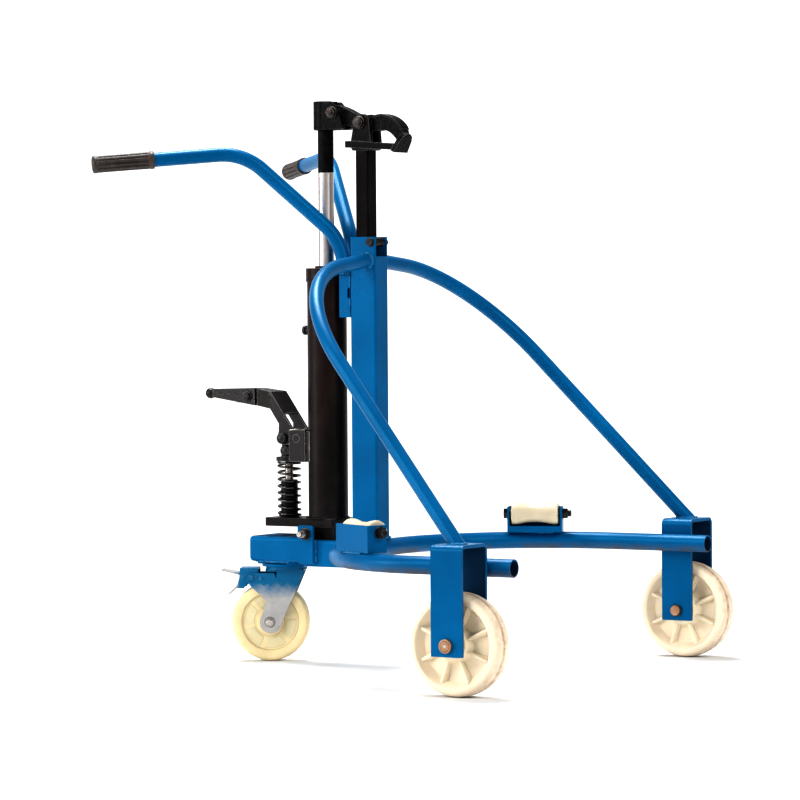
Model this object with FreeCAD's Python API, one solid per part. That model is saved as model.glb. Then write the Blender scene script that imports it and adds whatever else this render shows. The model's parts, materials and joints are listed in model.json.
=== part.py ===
"""Hydraulic drum truck: wheeled frame, telescoping mast, beak jaw and foot-pumped long ram.

Modelled in millimetres with Z up and the floor at Z = 0. Inside this file X is measured from
the front axle, positive towards the drum side, and Y from the middle plane, positive to the
left. Every shape is shifted by AXLE_X on export, so that the origin ends up under the middle
of the truck's outline.
"""
import FreeCAD
import Part
import math
import os

V = FreeCAD.Vector
X_AXIS = V(1, 0, 0)
Y_AXIS = V(0, 1, 0)
Z_AXIS = V(0, 0, 1)
OUT_DIR = "parts"

AXLE_X = 378.08            # front axle ahead of the middle of the outline

# clearances
SLIDING = 0.3              # gap between parts that move past each other
RUNNING = 0.06             # radial gap of a part that turns on its pin

# front wheels and their forks
WHEEL_R = 90.0
WHEEL_W = 50.0
WHEEL_Y = 417.0
AXLE_R = 10.0
FORK_LENGTH = 62.0         # along X
FORK_WIDTH = 86.0          # over both legs
FORK_PLATE = 6.0
FORK_BOTTOM = 71.0
FORK_TOP = 262.0

# C-shaped base tube
BASE_R = 16.0
BASE_WALL = 3.0
BASE_Z = 218.4
BASE_LEG_Y = 358.0
BASE_FRONT = 75.0
BASE_REAR = -421.0         # centre line of the tube behind the drum
BEND_R = 298.0

# spine boxes behind the tube
BOX_WALL = 3.0
FRONT_BOX = (-565.0, -421.0, 44.0, 181.5, 231.5)    # rear, front, half width, bottom, top
REAR_BOX = (-684.0, -565.0, 50.0, 188.5, 236.5)
EDGE_R = 8.0

# mast
MAST_X = (-470.0, -414.5)
MAST_HALF_W = 22.5
MAST_WALL = 4.0
MAST_FOOT = 236.5
MAST_TOP = 795.0
MAST_NOTCH = 759.0         # the front wall stops here
INNER_X = (-461.0, -433.5)
INNER_HALF_W = 15.5
INNER_BOTTOM = 400.0
INNER_TOP = 955.0
GUIDE_X = -424.7
GUIDE_Z = 785.0
GUIDE_R = 8.5

# bent tubes: braces and push handles
TUBE_R = 13.3
TUBE_WALL = 2.5
BRACE_POINTS = ((-434.3, 22.5, 750.7), (-422.3, 313.1, 721.2), (-1.6, 420.3, 262.0))
BRACE_BEND_R = 276.0
HANDLE_FOOT = (-483.8, 20.5, 728.0)
HANDLE_POINTS = ((-485.2, 20.5, 748.0), (-493.1, 20.4, 791.8), (-623.3, 145.0, 951.5))
HANDLE_BENDS = (60.0, 100.0, 110.0)
GRIP_END = (-833.3, 325.8, 930.4)
GRIP_LEN = 112.0
GRIP_R = 16.5

# drum rollers on the base tube
ROLLER_X = -267.3
ROLLER_Y = 308.2
ROLLER_TURN = 25.0         # degrees between the roller's axis and X
ROLLER_Z = 270.0
ROLLER_INSET = 6.0         # roller axis inside the middle of its bracket
ROLLER_LEN = 89.0
ROLLER_END_R = 21.5
ROLLER_WAIST_R = 17.0
BRACKET_LEN = 104.0
BRACKET_DEPTH = 40.0
BRACKET_Z = 234.4
BRACKET_TOP = 283.0
BRACKET_PLATE = 4.0
ROLLER_BOLT_R = 6.0

# jack
JACK_X = -536.0
CYL_R = 37.0
CYL_WALL = 6.0
CYL_Z = (271.0, 712.0)
CAP_R = 39.0
CAP_TOP = 738.0
ROD_R = 14.7
ROD_Z = (455.0, 995.0)
PISTON_Z = (455.0, 485.0)
JACK_PIVOT = (-551.5, 243.5)
HEAD_R = 22.5
HEAD_Z = (995.0, 1048.5)

# beak jaw
JAW_PIVOT = (-449.0, 1007.0)
TAIL_PIN = (-508.0, 1027.0)
TAIL_SLOT_TRAVEL = 4.6     # how far the tail pin wanders in its slot
JAW_HALF_W = 10.5
JAW_PIN_R = 7.0
TAIL_PIN_R = 6.0

# pump
PUMP_X = -623.4
BARREL_R = 16.0
BARREL_TOP = 341.0
PLUNGER_R = 8.0
SPRING_R = 20.7            # middle of the wire
SPRING_WIRE_R = 2.3
SPRING_Z = (273.3, 373.7)
SPRING_COILS = 8.25
SEAT_Z = (376.0, 384.0)
FULCRUM = (-586.0, 420.0)
LEVER_PIN = (-620.0, 419.6)
PLUNGER_PIN = (-620.0, 396.0)
LEVER_HALF_W = 27.0
LEVER_PLATE = 5.0
LINK_HALF_GAP = 10.4
LINK_PLATE = 5.0

# caster
CASTER_X = -631.0
CASTER_TRAIL = 30.0
CASTER_TURN = 28.0         # degrees the caster is swung out at rest
CASTER_R = 74.0
CASTER_W = 41.0
CASTER_AXLE_R = 7.0
LEG_INNER = 24.5           # half the gap between the caster's legs
LEG_PLATE = 4.0
FOOT_R = 21.0              # round lower end of the caster's legs
CROWN_Z = (169.0, 173.0)
PLATE_Z = (183.5, 188.5)
BRAKE_PIVOT = (66.0, 157.0)


# ---------------------------------------------------------------- helpers
def box(x, y, z):
    """Box between the pairs x, y and z."""
    return Part.makeBox(x[1] - x[0], y[1] - y[0], z[1] - z[0], V(x[0], y[0], z[0]))


def rod(centre, axis, radius, length):
    """Cylinder of the given length centred on a point."""
    direction = V(*axis).normalize()
    start = V(*centre) - direction * (length / 2.0)
    return Part.makeCylinder(radius, length, start, direction)


def upright(x, y, radius, z0, z1):
    return Part.makeCylinder(radius, z1 - z0, V(x, y, z0), Z_AXIS)


def ring(x, y, outer, inner, z0, z1):
    return upright(x, y, outer, z0, z1).cut(upright(x, y, inner, z0 - 1, z1 + 1))


def cross_pin(xz, radius, y0, y1):
    """Cylinder along Y between y0 and y1."""
    return Part.makeCylinder(radius, y1 - y0, V(xz[0], y0, xz[1]), Y_AXIS)


def side_plate(points, y0, y1):
    """Plate whose outline is given by (x, z) points, standing between y0 and y1."""
    corners = [V(x, y0, z) for x, z in points]
    face = Part.Face(Part.makePolygon(corners + [corners[0]]))
    return face.extrude(V(0, y1 - y0, 0))


def smooth_plate(points, y0, y1, straight=()):
    """Like side_plate, but a smooth curve runs through the points between straight corners."""
    edges = []
    run = [V(points[0][0], y0, points[0][1])]
    count = len(points)
    for index in range(1, count + 1):
        point = V(points[index % count][0], y0, points[index % count][1])
        run.append(point)
        if index % count in straight or index == count:
            if len(run) == 2:
                edges.append(Part.LineSegment(run[0], run[1]).toShape())
            else:
                curve = Part.BSplineCurve()
                curve.interpolate(run)
                edges.append(curve.toShape())
            run = [point]
    return Part.Face(Part.Wire(edges)).extrude(V(0, y1 - y0, 0))


def hexagon(centre, axis, across_flats, height):
    """Hexagonal prism that starts at a point and grows along the axis."""
    radius = across_flats / math.sqrt(3.0)
    direction = V(*axis).normalize()
    side = direction.cross(Z_AXIS)
    if side.Length < 0.1:
        side = V(1, 0, 0)
    side.normalize()
    up = side.cross(direction)
    start = V(*centre)
    corners = []
    for step in range(6):
        angle = math.radians(60 * step)
        corners.append(start + side * (radius * math.cos(angle)) + up * (radius * math.sin(angle)))
    face = Part.Face(Part.makePolygon(corners + [corners[0]]))
    return face.extrude(direction * height)


def washer(centre, axis, outer, inner, height):
    direction = V(*axis).normalize()
    disc = Part.makeCylinder(outer, height, V(*centre), direction)
    return disc.cut(Part.makeCylinder(inner, height + 2, V(*centre) - direction, direction))


def mirrored(shape):
    """The same shape on the other side of the middle plane."""
    return shape.mirror(V(0, 0, 0), Y_AXIS)


def both_sides(shape):
    return Part.makeCompound([shape, mirrored(shape)])


def rounded(shape, radius, pick):
    """Fillet the edges that pick(edge) accepts."""
    edges = [edge for edge in shape.Edges if pick(edge)]
    return shape.makeFillet(radius, edges)


def along(edge, axis):
    """True for a straight edge parallel to the axis."""
    if edge.Curve.TypeId != "Part::GeomLine":
        return False
    return abs(edge.tangentAt(edge.FirstParameter).dot(axis)) > 0.999


def bent_path(points, radii):
    """Straight runs joined by tangent arcs, one radius for each inner point."""
    points = [V(*point) for point in points]
    edges = []
    start = points[0]
    for index, radius in enumerate(radii):
        corner = points[index + 1]
        back = (points[index] - corner).normalize()
        ahead = (points[index + 2] - corner).normalize()
        half = back.getAngle(ahead) / 2.0
        setback = radius / math.tan(half)
        first = corner + back * setback
        last = corner + ahead * setback
        inward = (back + ahead).normalize()
        middle = corner + inward * (radius / math.sin(half) - radius)
        edges.append(Part.LineSegment(start, first).toShape())
        edges.append(Part.Arc(first, middle, last).toShape())
        start = last
    edges.append(Part.LineSegment(start, points[-1]).toShape())
    return Part.Wire(edges)


def swept(path, radius):
    first = path.Edges[0]
    start = first.valueAt(first.FirstParameter)
    heading = first.tangentAt(first.FirstParameter)
    circle = Part.Wire([Part.Circle(start, heading, radius).toShape()])
    return path.makePipeShell([circle], True, True)


def tube(path, radius, wall):
    return swept(path, radius).cut(swept(path, radius - wall))


# ---------------------------------------------------------------- base frame
def base_path():
    """Centre line of the C: leg, quarter bend, short back, quarter bend, leg."""
    corners = [(BASE_FRONT, -BASE_LEG_Y, BASE_Z), (BASE_REAR, -BASE_LEG_Y, BASE_Z),
               (BASE_REAR, BASE_LEG_Y, BASE_Z), (BASE_FRONT, BASE_LEG_Y, BASE_Z)]
    return bent_path(corners, [BEND_R, BEND_R])


def base_tube():
    return tube(base_path(), BASE_R, BASE_WALL)


def base_solid():
    return swept(base_path(), BASE_R)


def spine_front_box():
    rear, front, half, bottom, top = FRONT_BOX
    outer = box((rear, front), (-half, half), (bottom, top))
    outer = rounded(outer, 5.0, lambda edge: along(edge, X_AXIS))
    wall = BOX_WALL
    inner = box((rear - 1, front + 1), (wall - half, half - wall), (bottom + wall, top - wall))
    return outer.cut(inner).cut(base_solid())


def spine_rear_box():
    rear, front, half, bottom, top = REAR_BOX
    outer = box((rear, front), (-half, half), (bottom, top))
    outer = rounded(outer, EDGE_R, lambda edge: edge.CenterOfMass.x < front - 1)
    wall = BOX_WALL
    return outer.cut(box((rear + wall, front + 1), (wall - half, half - wall), (bottom + wall, top - wall)))


def jack_lugs():
    lug = box((-569, -536), (50, 56), (188, 259))
    lug = rounded(lug, 4.0, lambda edge: along(edge, Y_AXIS))
    lug = lug.cut(cross_pin(JACK_PIVOT, 6.1, 40, 60))
    spacer = box((-565, -536), (44, 50), (190, 231.5))
    return both_sides(lug.fuse(spacer).removeSplitter())


def mast_foot():
    plate = box((-486, -432), (-35, 35), (231.5, MAST_FOOT))
    return plate.cut(base_solid())


# ---------------------------------------------------------------- forks and front wheels
def fork():
    half_x = FORK_LENGTH / 2.0
    half_y = FORK_WIDTH / 2.0
    outer = box((-half_x, half_x), (WHEEL_Y - half_y, WHEEL_Y + half_y), (FORK_BOTTOM, FORK_TOP))
    outer = rounded(outer, 12.0, lambda edge: along(edge, X_AXIS) and edge.CenterOfMass.z > FORK_TOP - 1)
    gap = half_y - FORK_PLATE
    inner_top = FORK_TOP - FORK_PLATE
    inner = box((-half_x - 1, half_x + 1), (WHEEL_Y - gap, WHEEL_Y + gap), (FORK_BOTTOM - 1, inner_top))
    inner = rounded(inner, 6.0, lambda edge: along(edge, X_AXIS) and edge.CenterOfMass.z > inner_top - 1)
    bent = outer.cut(inner)
    bent = rounded(bent, 1.5, lambda edge: along(edge, Y_AXIS) and edge.CenterOfMass.z < FORK_BOTTOM + 1)
    return bent.cut(cross_pin((0, WHEEL_R), AXLE_R + RUNNING, WHEEL_Y - half_y - 1, WHEEL_Y + half_y + 1))


def front_wheel():
    """Moulded wheel: crowned tread, deep pockets on both faces, ribs and hub."""
    half = WHEEL_W / 2.0
    shoulder, pocket, hub, floor = 83.0, 69.0, 27.0, 4.5
    bore = AXLE_R + RUNNING
    rim = [(bore, -half - 1), (hub, -half - 1), (hub + 1.5, -floor), (pocket - 3, -floor),
           (pocket, -half + 1.5), (shoulder - 3, -half), (shoulder, -half + 1.5), (88.6, -half + 10),
           (WHEEL_R, -5), (WHEEL_R, 5), (88.6, half - 10), (shoulder, half - 1.5), (shoulder - 3, half),
           (pocket, half - 1.5), (pocket - 3, floor), (hub + 1.5, floor), (hub, half + 1), (bore, half + 1)]
    corners = [V(radius, offset, 0) for radius, offset in rim]
    face = Part.Face(Part.makePolygon(corners + [corners[0]]))
    wheel = face.revolve(V(0, 0, 0), Y_AXIS, 360)
    for step in range(8):
        rib = side_plate([(hub - 1, -4), (pocket - 1, -6), (pocket - 1, 6), (hub - 1, 4)], -half + 3, half - 3)
        rib.rotate(V(0, 0, 0), Y_AXIS, 20 + 45 * step)
        wheel = wheel.fuse(rib)
    wheel = wheel.removeSplitter()
    wheel.translate(V(0, WHEEL_Y, WHEEL_R))
    return wheel


def axle_pin():
    """Plain pin with a round head outside the fork and a thin clip groove inside."""
    inner = WHEEL_Y - FORK_WIDTH / 2.0
    outer = WHEEL_Y + FORK_WIDTH / 2.0
    shank = cross_pin((0, WHEEL_R), AXLE_R, inner - 8, outer)
    shank = rounded(shank, 1.5, lambda edge: edge.CenterOfMass.y < inner - 7)
    head = cross_pin((0, WHEEL_R), 12.5, outer, outer + 6)
    head = rounded(head, 1.2, lambda edge: edge.CenterOfMass.y > outer + 5)
    return shank.fuse(head).removeSplitter()


def axle_spacers():
    gap = FORK_WIDTH / 2.0 - FORK_PLATE
    face = WHEEL_W / 2.0 + 1 + SLIDING
    spacers = []
    for side in (-1, 1):
        y0, y1 = sorted((WHEEL_Y + side * face, WHEEL_Y + side * gap))
        tube_out = cross_pin((0, WHEEL_R), 15.0, y0, y1)
        spacers.append(tube_out.cut(cross_pin((0, WHEEL_R), AXLE_R + RUNNING, y0 - 1, y1 + 1)))
    spacers += [mirrored(spacer) for spacer in spacers]
    return Part.makeCompound(spacers)


# ---------------------------------------------------------------- mast
def mast_tube():
    outer = box(MAST_X, (-MAST_HALF_W, MAST_HALF_W), (MAST_FOOT, MAST_TOP))
    outer = rounded(outer, 4.0, lambda edge: along(edge, Z_AXIS))
    inside = (MAST_X[0] + MAST_WALL, MAST_X[1] - MAST_WALL)
    half = MAST_HALF_W - MAST_WALL
    shell = outer.cut(box(inside, (-half, half), (MAST_FOOT - 1, MAST_TOP + 1)))
    shell = shell.cut(box((inside[1] - 1, MAST_X[1] + 1), (-half, half), (MAST_NOTCH, MAST_TOP + 1)))
    return shell.cut(cross_pin((GUIDE_X, GUIDE_Z), 4.1, -30, 30)).cut(base_solid())


def guide_roller():
    barrel = cross_pin((GUIDE_X, GUIDE_Z), GUIDE_R, -14, 14)
    barrel = rounded(barrel, 1.0, lambda edge: edge.Length > 40)
    return barrel.cut(cross_pin((GUIDE_X, GUIDE_Z), 4.0 + RUNNING, -20, 20))


def guide_bolt():
    shank = cross_pin((GUIDE_X, GUIDE_Z), 4.0, -MAST_HALF_W, MAST_HALF_W + 9)
    head = hexagon((GUIDE_X, -MAST_HALF_W, GUIDE_Z), (0, -1, 0), 13.0, 5.5)
    nut = hexagon((GUIDE_X, MAST_HALF_W, GUIDE_Z), (0, 1, 0), 13.0, 6.5)
    return shank.fuse(head).fuse(nut).removeSplitter()


def wear_pads():
    """Plastic strips between the outer mast and the sliding bar."""
    back = box((MAST_X[0] + MAST_WALL, INNER_X[0] - SLIDING), (-12, 12), (690, 790))
    inside = MAST_HALF_W - MAST_WALL
    flank = box((-456, -441), (INNER_HALF_W + SLIDING, inside), (690, 790))
    front = box((INNER_X[1] + SLIDING, MAST_X[1] - MAST_WALL), (-11, 11), (700, 750))
    return Part.makeCompound([back, flank, mirrored(flank), front])


def inner_mast():
    bar = box(INNER_X, (-INNER_HALF_W, INNER_HALF_W), (INNER_BOTTOM, INNER_TOP))
    return rounded(bar, 3.0, lambda edge: along(edge, Z_AXIS))


def handle_plates():
    """Channel behind the mast, flush with its sides, that the handles stand on."""
    inner_y = MAST_HALF_W - 3.5
    outer = box((-494, MAST_X[0]), (-MAST_HALF_W, MAST_HALF_W), (646, 728))
    inside = box((-490.5, MAST_X[0] + 1), (-inner_y, inner_y), (645, 729))
    slot = box((-476, -471), (-MAST_HALF_W - 1, MAST_HALF_W + 1), (682, 701))
    return outer.cut(inside).cut(slot)


# ---------------------------------------------------------------- bent tubes
def brace():
    start, corner, end = [V(*point) for point in BRACE_POINTS]
    inside = start + (start - corner).normalize() * 12.0
    below = end + (end - corner).normalize() * 25.0
    path = bent_path([tuple(inside), tuple(corner), tuple(below)], [BRACE_BEND_R])
    shape = tube(path, TUBE_R, TUBE_WALL)
    shape = shape.cut(box((-600, 100), (-40, MAST_HALF_W), (600, 900)))
    return shape.cut(box((-200, 200), (300, 500), (100, FORK_TOP)))


def handle():
    """Bent handle tube whose foot is cut level where it stands on the channel."""
    foot_x, foot_y, foot_z = HANDLE_FOOT
    points = [(foot_x, foot_y, foot_z - 2.0)] + list(HANDLE_POINTS) + [GRIP_END]
    shape = tube(bent_path(points, list(HANDLE_BENDS)), TUBE_R, TUBE_WALL)
    return shape.cut(box((-520, -450), (0, 60), (foot_z - 10.0, foot_z)))


def grip():
    """Ribbed sleeve with a collar at the inner end and a closed cap."""
    end = V(*GRIP_END)
    heading = (end - V(*HANDLE_POINTS[-1])).normalize()
    length = GRIP_LEN
    start = end - heading * length
    sleeve = Part.makeCylinder(GRIP_R - 1.2, length, start, heading)
    collar = Part.makeCylinder(GRIP_R, 9.0, start, heading)
    cap = Part.makeCylinder(GRIP_R, 7.0, end - heading * 4.0, heading)
    cap = rounded(cap, 2.5, lambda edge: (edge.CenterOfMass - end).dot(heading) > 2.5)
    shape = sleeve.fuse(collar).fuse(cap)
    side = heading.cross(Z_AXIS).normalize()
    up = side.cross(heading).normalize()
    for step in range(18):
        angle = math.radians(20 * step)
        outward = side * math.cos(angle) + up * math.sin(angle)
        rib = Part.makeCylinder(1.6, length - 17, start + heading * 11.0 + outward * (GRIP_R - 1.6), heading)
        shape = shape.fuse(rib)
    core = Part.makeCylinder(TUBE_R, length, start, heading)
    return shape.removeSplitter().cut(core)


# ---------------------------------------------------------------- drum rollers
def at_roller(shape):
    """Carry a shape built on the X axis at the origin to the left drum roller."""
    moved = shape.copy()
    moved.rotate(V(0, 0, 0), Z_AXIS, ROLLER_TURN)
    moved.translate(V(ROLLER_X, ROLLER_Y, 0))
    return moved


def roller_bracket():
    half = BRACKET_LEN / 2.0
    depth = BRACKET_DEPTH / 2.0
    plate = BRACKET_PLATE
    shell = box((-half, half), (-depth, depth), (BRACKET_Z, BRACKET_TOP))
    hollow = box((plate - half, half - plate), (-depth - 1, depth - plate), (BRACKET_Z + plate, BRACKET_TOP + 1))
    shell = shell.cut(hollow)
    lip = box((-half, half), (-depth, plate - depth), (BRACKET_Z, BRACKET_Z + 12))
    hole = rod((0, -ROLLER_INSET, ROLLER_Z), (1, 0, 0), ROLLER_BOLT_R + RUNNING, BRACKET_LEN + 20)
    return at_roller(shell.fuse(lip).removeSplitter().cut(hole))


def drum_roller():
    """Hourglass roller."""
    half = ROLLER_LEN / 2.0
    bore = ROLLER_BOLT_R + RUNNING
    ends = ROLLER_END_R
    waist = ROLLER_WAIST_R
    curve = Part.BSplineCurve()
    outline = [(-half + 4, ends), (-half + 17, ends - 1.3), (-12, waist + 0.4), (0, waist),
               (12, waist + 0.4), (half - 17, ends - 1.3), (half - 4, ends)]
    curve.interpolate([V(x, radius, 0) for x, radius in outline])
    corners = [(half - 4, ends), (half - 1, ends - 0.6), (half, ends - 3), (half, bore), (-half, bore),
               (-half, ends - 3), (1 - half, ends - 0.6), (4 - half, ends)]
    points = [V(x, radius, 0) for x, radius in corners]
    edges = [curve.toShape()]
    edges += [Part.LineSegment(first, last).toShape() for first, last in zip(points[:-1], points[1:])]
    body = Part.Face(Part.Wire(edges)).revolve(V(0, 0, 0), X_AXIS, 360)
    body.translate(V(0, -ROLLER_INSET, ROLLER_Z))
    return at_roller(body)


def roller_bolt():
    half = BRACKET_LEN / 2.0
    inset = -ROLLER_INSET
    shank = rod((8, inset, ROLLER_Z), (1, 0, 0), ROLLER_BOLT_R, BRACKET_LEN + 16)
    head = hexagon((-half, inset, ROLLER_Z), (-1, 0, 0), 18.0, 7.5)
    nut = hexagon((half, inset, ROLLER_Z), (1, 0, 0), 18.0, 10.0)
    return at_roller(shank.fuse(head).fuse(nut).removeSplitter())


# ---------------------------------------------------------------- jack body
def jack_base():
    plate = box((-655, -505), (-36, 36), (255, 271))
    plate = rounded(plate, 2.0, lambda edge: along(edge, Z_AXIS))
    eye = box((-563, -505), (-30, 30), (231.5, 255))
    shape = plate.fuse(eye).removeSplitter()
    shape = shape.cut(cross_pin((-600, 263), 6.0 + RUNNING, 22, 40))
    return shape.cut(cross_pin(JACK_PIVOT, 6.1, -60, 60))


def jack_pivot_bolt():
    shank = cross_pin(JACK_PIVOT, 6.0, -78, 56)
    shank = rounded(shank, 1.0, lambda edge: edge.CenterOfMass.y < -77)
    nut = hexagon((JACK_PIVOT[0], -56, JACK_PIVOT[1]), (0, -1, 0), 18.0, 9.0)
    head = hexagon((JACK_PIVOT[0], 56, JACK_PIVOT[1]), (0, 1, 0), 18.0, 7.5)
    return shank.fuse(nut).fuse(head).removeSplitter()


def jack_cylinder():
    shell = ring(JACK_X, 0, CYL_R, CYL_R - CYL_WALL, CYL_Z[0], CYL_Z[1])
    bead = Part.makeCone(CYL_R + 4.0, CYL_R, 4.0, V(JACK_X, 0, CYL_Z[0]))
    bead = bead.cut(upright(JACK_X, 0, CYL_R, CYL_Z[0] - 1, CYL_Z[0] + 9))
    bead = bead.common(box((-700, -504.5), (-36, 36), (CYL_Z[0], CYL_Z[0] + 9)))
    return shell.fuse(bead).removeSplitter()


def cylinder_cap():
    cap = upright(JACK_X, 0, CAP_R, CYL_Z[1], CAP_TOP)
    cap = rounded(cap, 2.0, lambda edge: edge.Length > 200)
    lip = upright(JACK_X, 0, ROD_R + 7.0, CAP_TOP - 0.5, CAP_TOP + 4)
    plug = upright(JACK_X, 0, CYL_R - CYL_WALL, CYL_Z[1] - 20, CYL_Z[1])
    cap = cap.fuse(lip).fuse(plug).removeSplitter()
    return cap.cut(upright(JACK_X, 0, ROD_R + SLIDING, CYL_Z[1] - 30, CAP_TOP + 10))


def filler_plug():
    stem = rod((JACK_X - CYL_R - 2, 0, 622), (1, 0, 0), 6.5, 14.0)
    knob = rod((JACK_X - CYL_R - 11.5, 0, 622), (1, 0, 0), 9.0, 6.0)
    knob = rounded(knob, 1.5, lambda edge: edge.Length > 40)
    shell = upright(JACK_X, 0, CYL_R, CYL_Z[0], CYL_Z[1])
    return stem.fuse(knob).removeSplitter().cut(shell)


def release_valve():
    """Turning screw with a cross bar, on the far side of the jack base."""
    stem = cross_pin((-600, 263), 6.0, 24, 56)
    collar = cross_pin((-600, 263), 9.0, 44, 50)
    bar = rod((-600, 53, 263), (1, 0, 0), 2.5, 44.0)
    return stem.fuse(collar).fuse(bar).removeSplitter()


def pump_barrel():
    barrel = upright(PUMP_X, 0, BARREL_R, 271, BARREL_TOP)
    barrel = rounded(barrel, 1.5, lambda edge: edge.CenterOfMass.z > BARREL_TOP - 1)
    return barrel.cut(upright(PUMP_X, 0, PLUNGER_R + RUNNING, 288, BARREL_TOP + 1))


def fulcrum_bracket():
    """Two cast ears on the cylinder, one on each side of the lever."""
    ear_in = LEVER_HALF_W + SLIDING
    ear_out = ear_in + 5.7
    outline = [(-602, 380), (-602, 436), (-566, 436), (-566, 376), (-598, 376)]
    block = side_plate(outline, -ear_out, ear_out)
    neck = side_plate([(-566, 377), (-566, 434), (-545, 434), (-545, 377)], -ear_in - 3, ear_in + 3)
    block = block.fuse(neck).removeSplitter()
    slot = box((-620, -570), (-ear_in, ear_in), (370, 440))
    return block.cut(slot).cut(upright(JACK_X, 0, CYL_R, 300, 500)).cut(cross_pin(FULCRUM, 7.0, -40, 40))


def fulcrum_pin():
    half = LEVER_HALF_W + SLIDING + 5.7
    return cross_pin(FULCRUM, 7.0, -half, half)


# ---------------------------------------------------------------- ram
def ram_rod():
    shape = upright(JACK_X, 0, ROD_R, PISTON_Z[1], HEAD_Z[0] + 30)
    return shape.fuse(upright(JACK_X, 0, 10.0, PISTON_Z[0], PISTON_Z[1])).removeSplitter()


def piston():
    shape = upright(JACK_X, 0, CYL_R - CYL_WALL - SLIDING, PISTON_Z[0], PISTON_Z[1])
    for z in (PISTON_Z[0] + 6, PISTON_Z[0] + 18):
        shape = shape.cut(ring(JACK_X, 0, 40, CYL_R - CYL_WALL - 3.0, z, z + 5))
    return shape.cut(upright(JACK_X, 0, 10.0, PISTON_Z[0] - 1, PISTON_Z[1] + 1))


def ram_head():
    """Sleeve on the rod with two ears that hold the jaw's tail."""
    sleeve = upright(JACK_X, 0, HEAD_R, HEAD_Z[0], HEAD_Z[1])
    sleeve = rounded(sleeve, 1.8, lambda edge: edge.Length > 100)
    ears = [(JACK_X, 995), (-491, 995), (-486.5, 997), (-485, 1002), (-495, 1029), (-513, 1047), (JACK_X, 1047)]
    block = side_plate(ears, -HEAD_R + 0.5, HEAD_R - 0.5)
    block = rounded(block, 1.5, lambda edge: abs(edge.CenterOfMass.y) > 21 and edge.CenterOfMass.x > -530)
    slot = box((-524, -470), (-JAW_HALF_W - SLIDING, JAW_HALF_W + SLIDING), (980, 1060))
    shape = sleeve.fuse(block).removeSplitter().cut(slot)
    shape = shape.cut(upright(JACK_X, 0, ROD_R, HEAD_Z[0] - 1, HEAD_Z[0] + 30))
    return shape.cut(cross_pin(TAIL_PIN, TAIL_PIN_R, -40, 40))


def head_pin():
    shank = cross_pin(TAIL_PIN, TAIL_PIN_R, -HEAD_R - 9, HEAD_R)
    nut = hexagon((TAIL_PIN[0], -HEAD_R + 0.5, TAIL_PIN[1]), (0, -1, 0), 18.0, 7.0)
    head = hexagon((TAIL_PIN[0], HEAD_R - 0.5, TAIL_PIN[1]), (0, 1, 0), 18.0, 6.0)
    return shank.fuse(nut).fuse(head).removeSplitter()


# ---------------------------------------------------------------- jaw
def lower_jaw():
    """Nose-down plate on the sliding bar, with a boss under it."""
    outline = [(-480, 961), (-480, 973), (-467, 973), (-372.8, 966.2), (-379.3, 954.8)]
    plate = side_plate(outline, -22, 22)
    plate = rounded(plate, 2.0, lambda edge: edge.CenterOfMass.x < -479 and along(edge, Z_AXIS))
    boss = side_plate([(-466, INNER_TOP), (-470, 962), (-418, 961), (-428, INNER_TOP)], -17, 17)
    return plate.fuse(boss).removeSplitter()


def jaw_clevis():
    gap = JAW_HALF_W + SLIDING
    outline = [(-467.5, 973), (-459.5, 1013), (-456, 1018.5), (-449, 1022), (-440, 1022), (-432, 1018.5),
               (-428, 1012), (-424.6, 970)]
    ear = side_plate(outline, gap, 20)
    plate = side_plate([(-500, 973), (-467, 973), (-372.8, 966.2), (-372.8, 900), (-500, 900)], -30, 30)
    ear = ear.cut(plate).cut(cross_pin(JAW_PIVOT, JAW_PIN_R, 0, 40))
    return both_sides(ear)


def jaw_pivot_bolt():
    shank = cross_pin(JAW_PIVOT, JAW_PIN_R, -29, 20)
    nut = hexagon((JAW_PIVOT[0], -20, JAW_PIVOT[1]), (0, -1, 0), 19.0, 7.0)
    head = hexagon((JAW_PIVOT[0], 20, JAW_PIVOT[1]), (0, 1, 0), 19.0, 6.0)
    return shank.fuse(nut).fuse(head).removeSplitter()


def jaw_pad():
    """Shield-shaped pad that leans forward at the top."""
    low, high = (-371.5, 949.6), (-352.5, 983.5)
    height = math.hypot(high[0] - low[0], high[1] - low[1])
    widths = [(0.0, 24.0), (0.62, 20.5), (0.84, 15.5), (0.95, 9.0), (1.0, 3.0)]
    corners = [V(0, -half, share * height) for share, half in widths]
    corners += [V(0, half, share * height) for share, half in reversed(widths)]
    face = Part.Face(Part.makePolygon(corners + [corners[0]]))
    shield = face.extrude(V(-8.0, 0, 0))
    lean = math.degrees(math.atan2(high[0] - low[0], high[1] - low[1]))
    shield.rotate(V(0, 0, 0), Y_AXIS, lean)
    shield.translate(V(low[0], 0, low[1]))
    return shield


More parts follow.
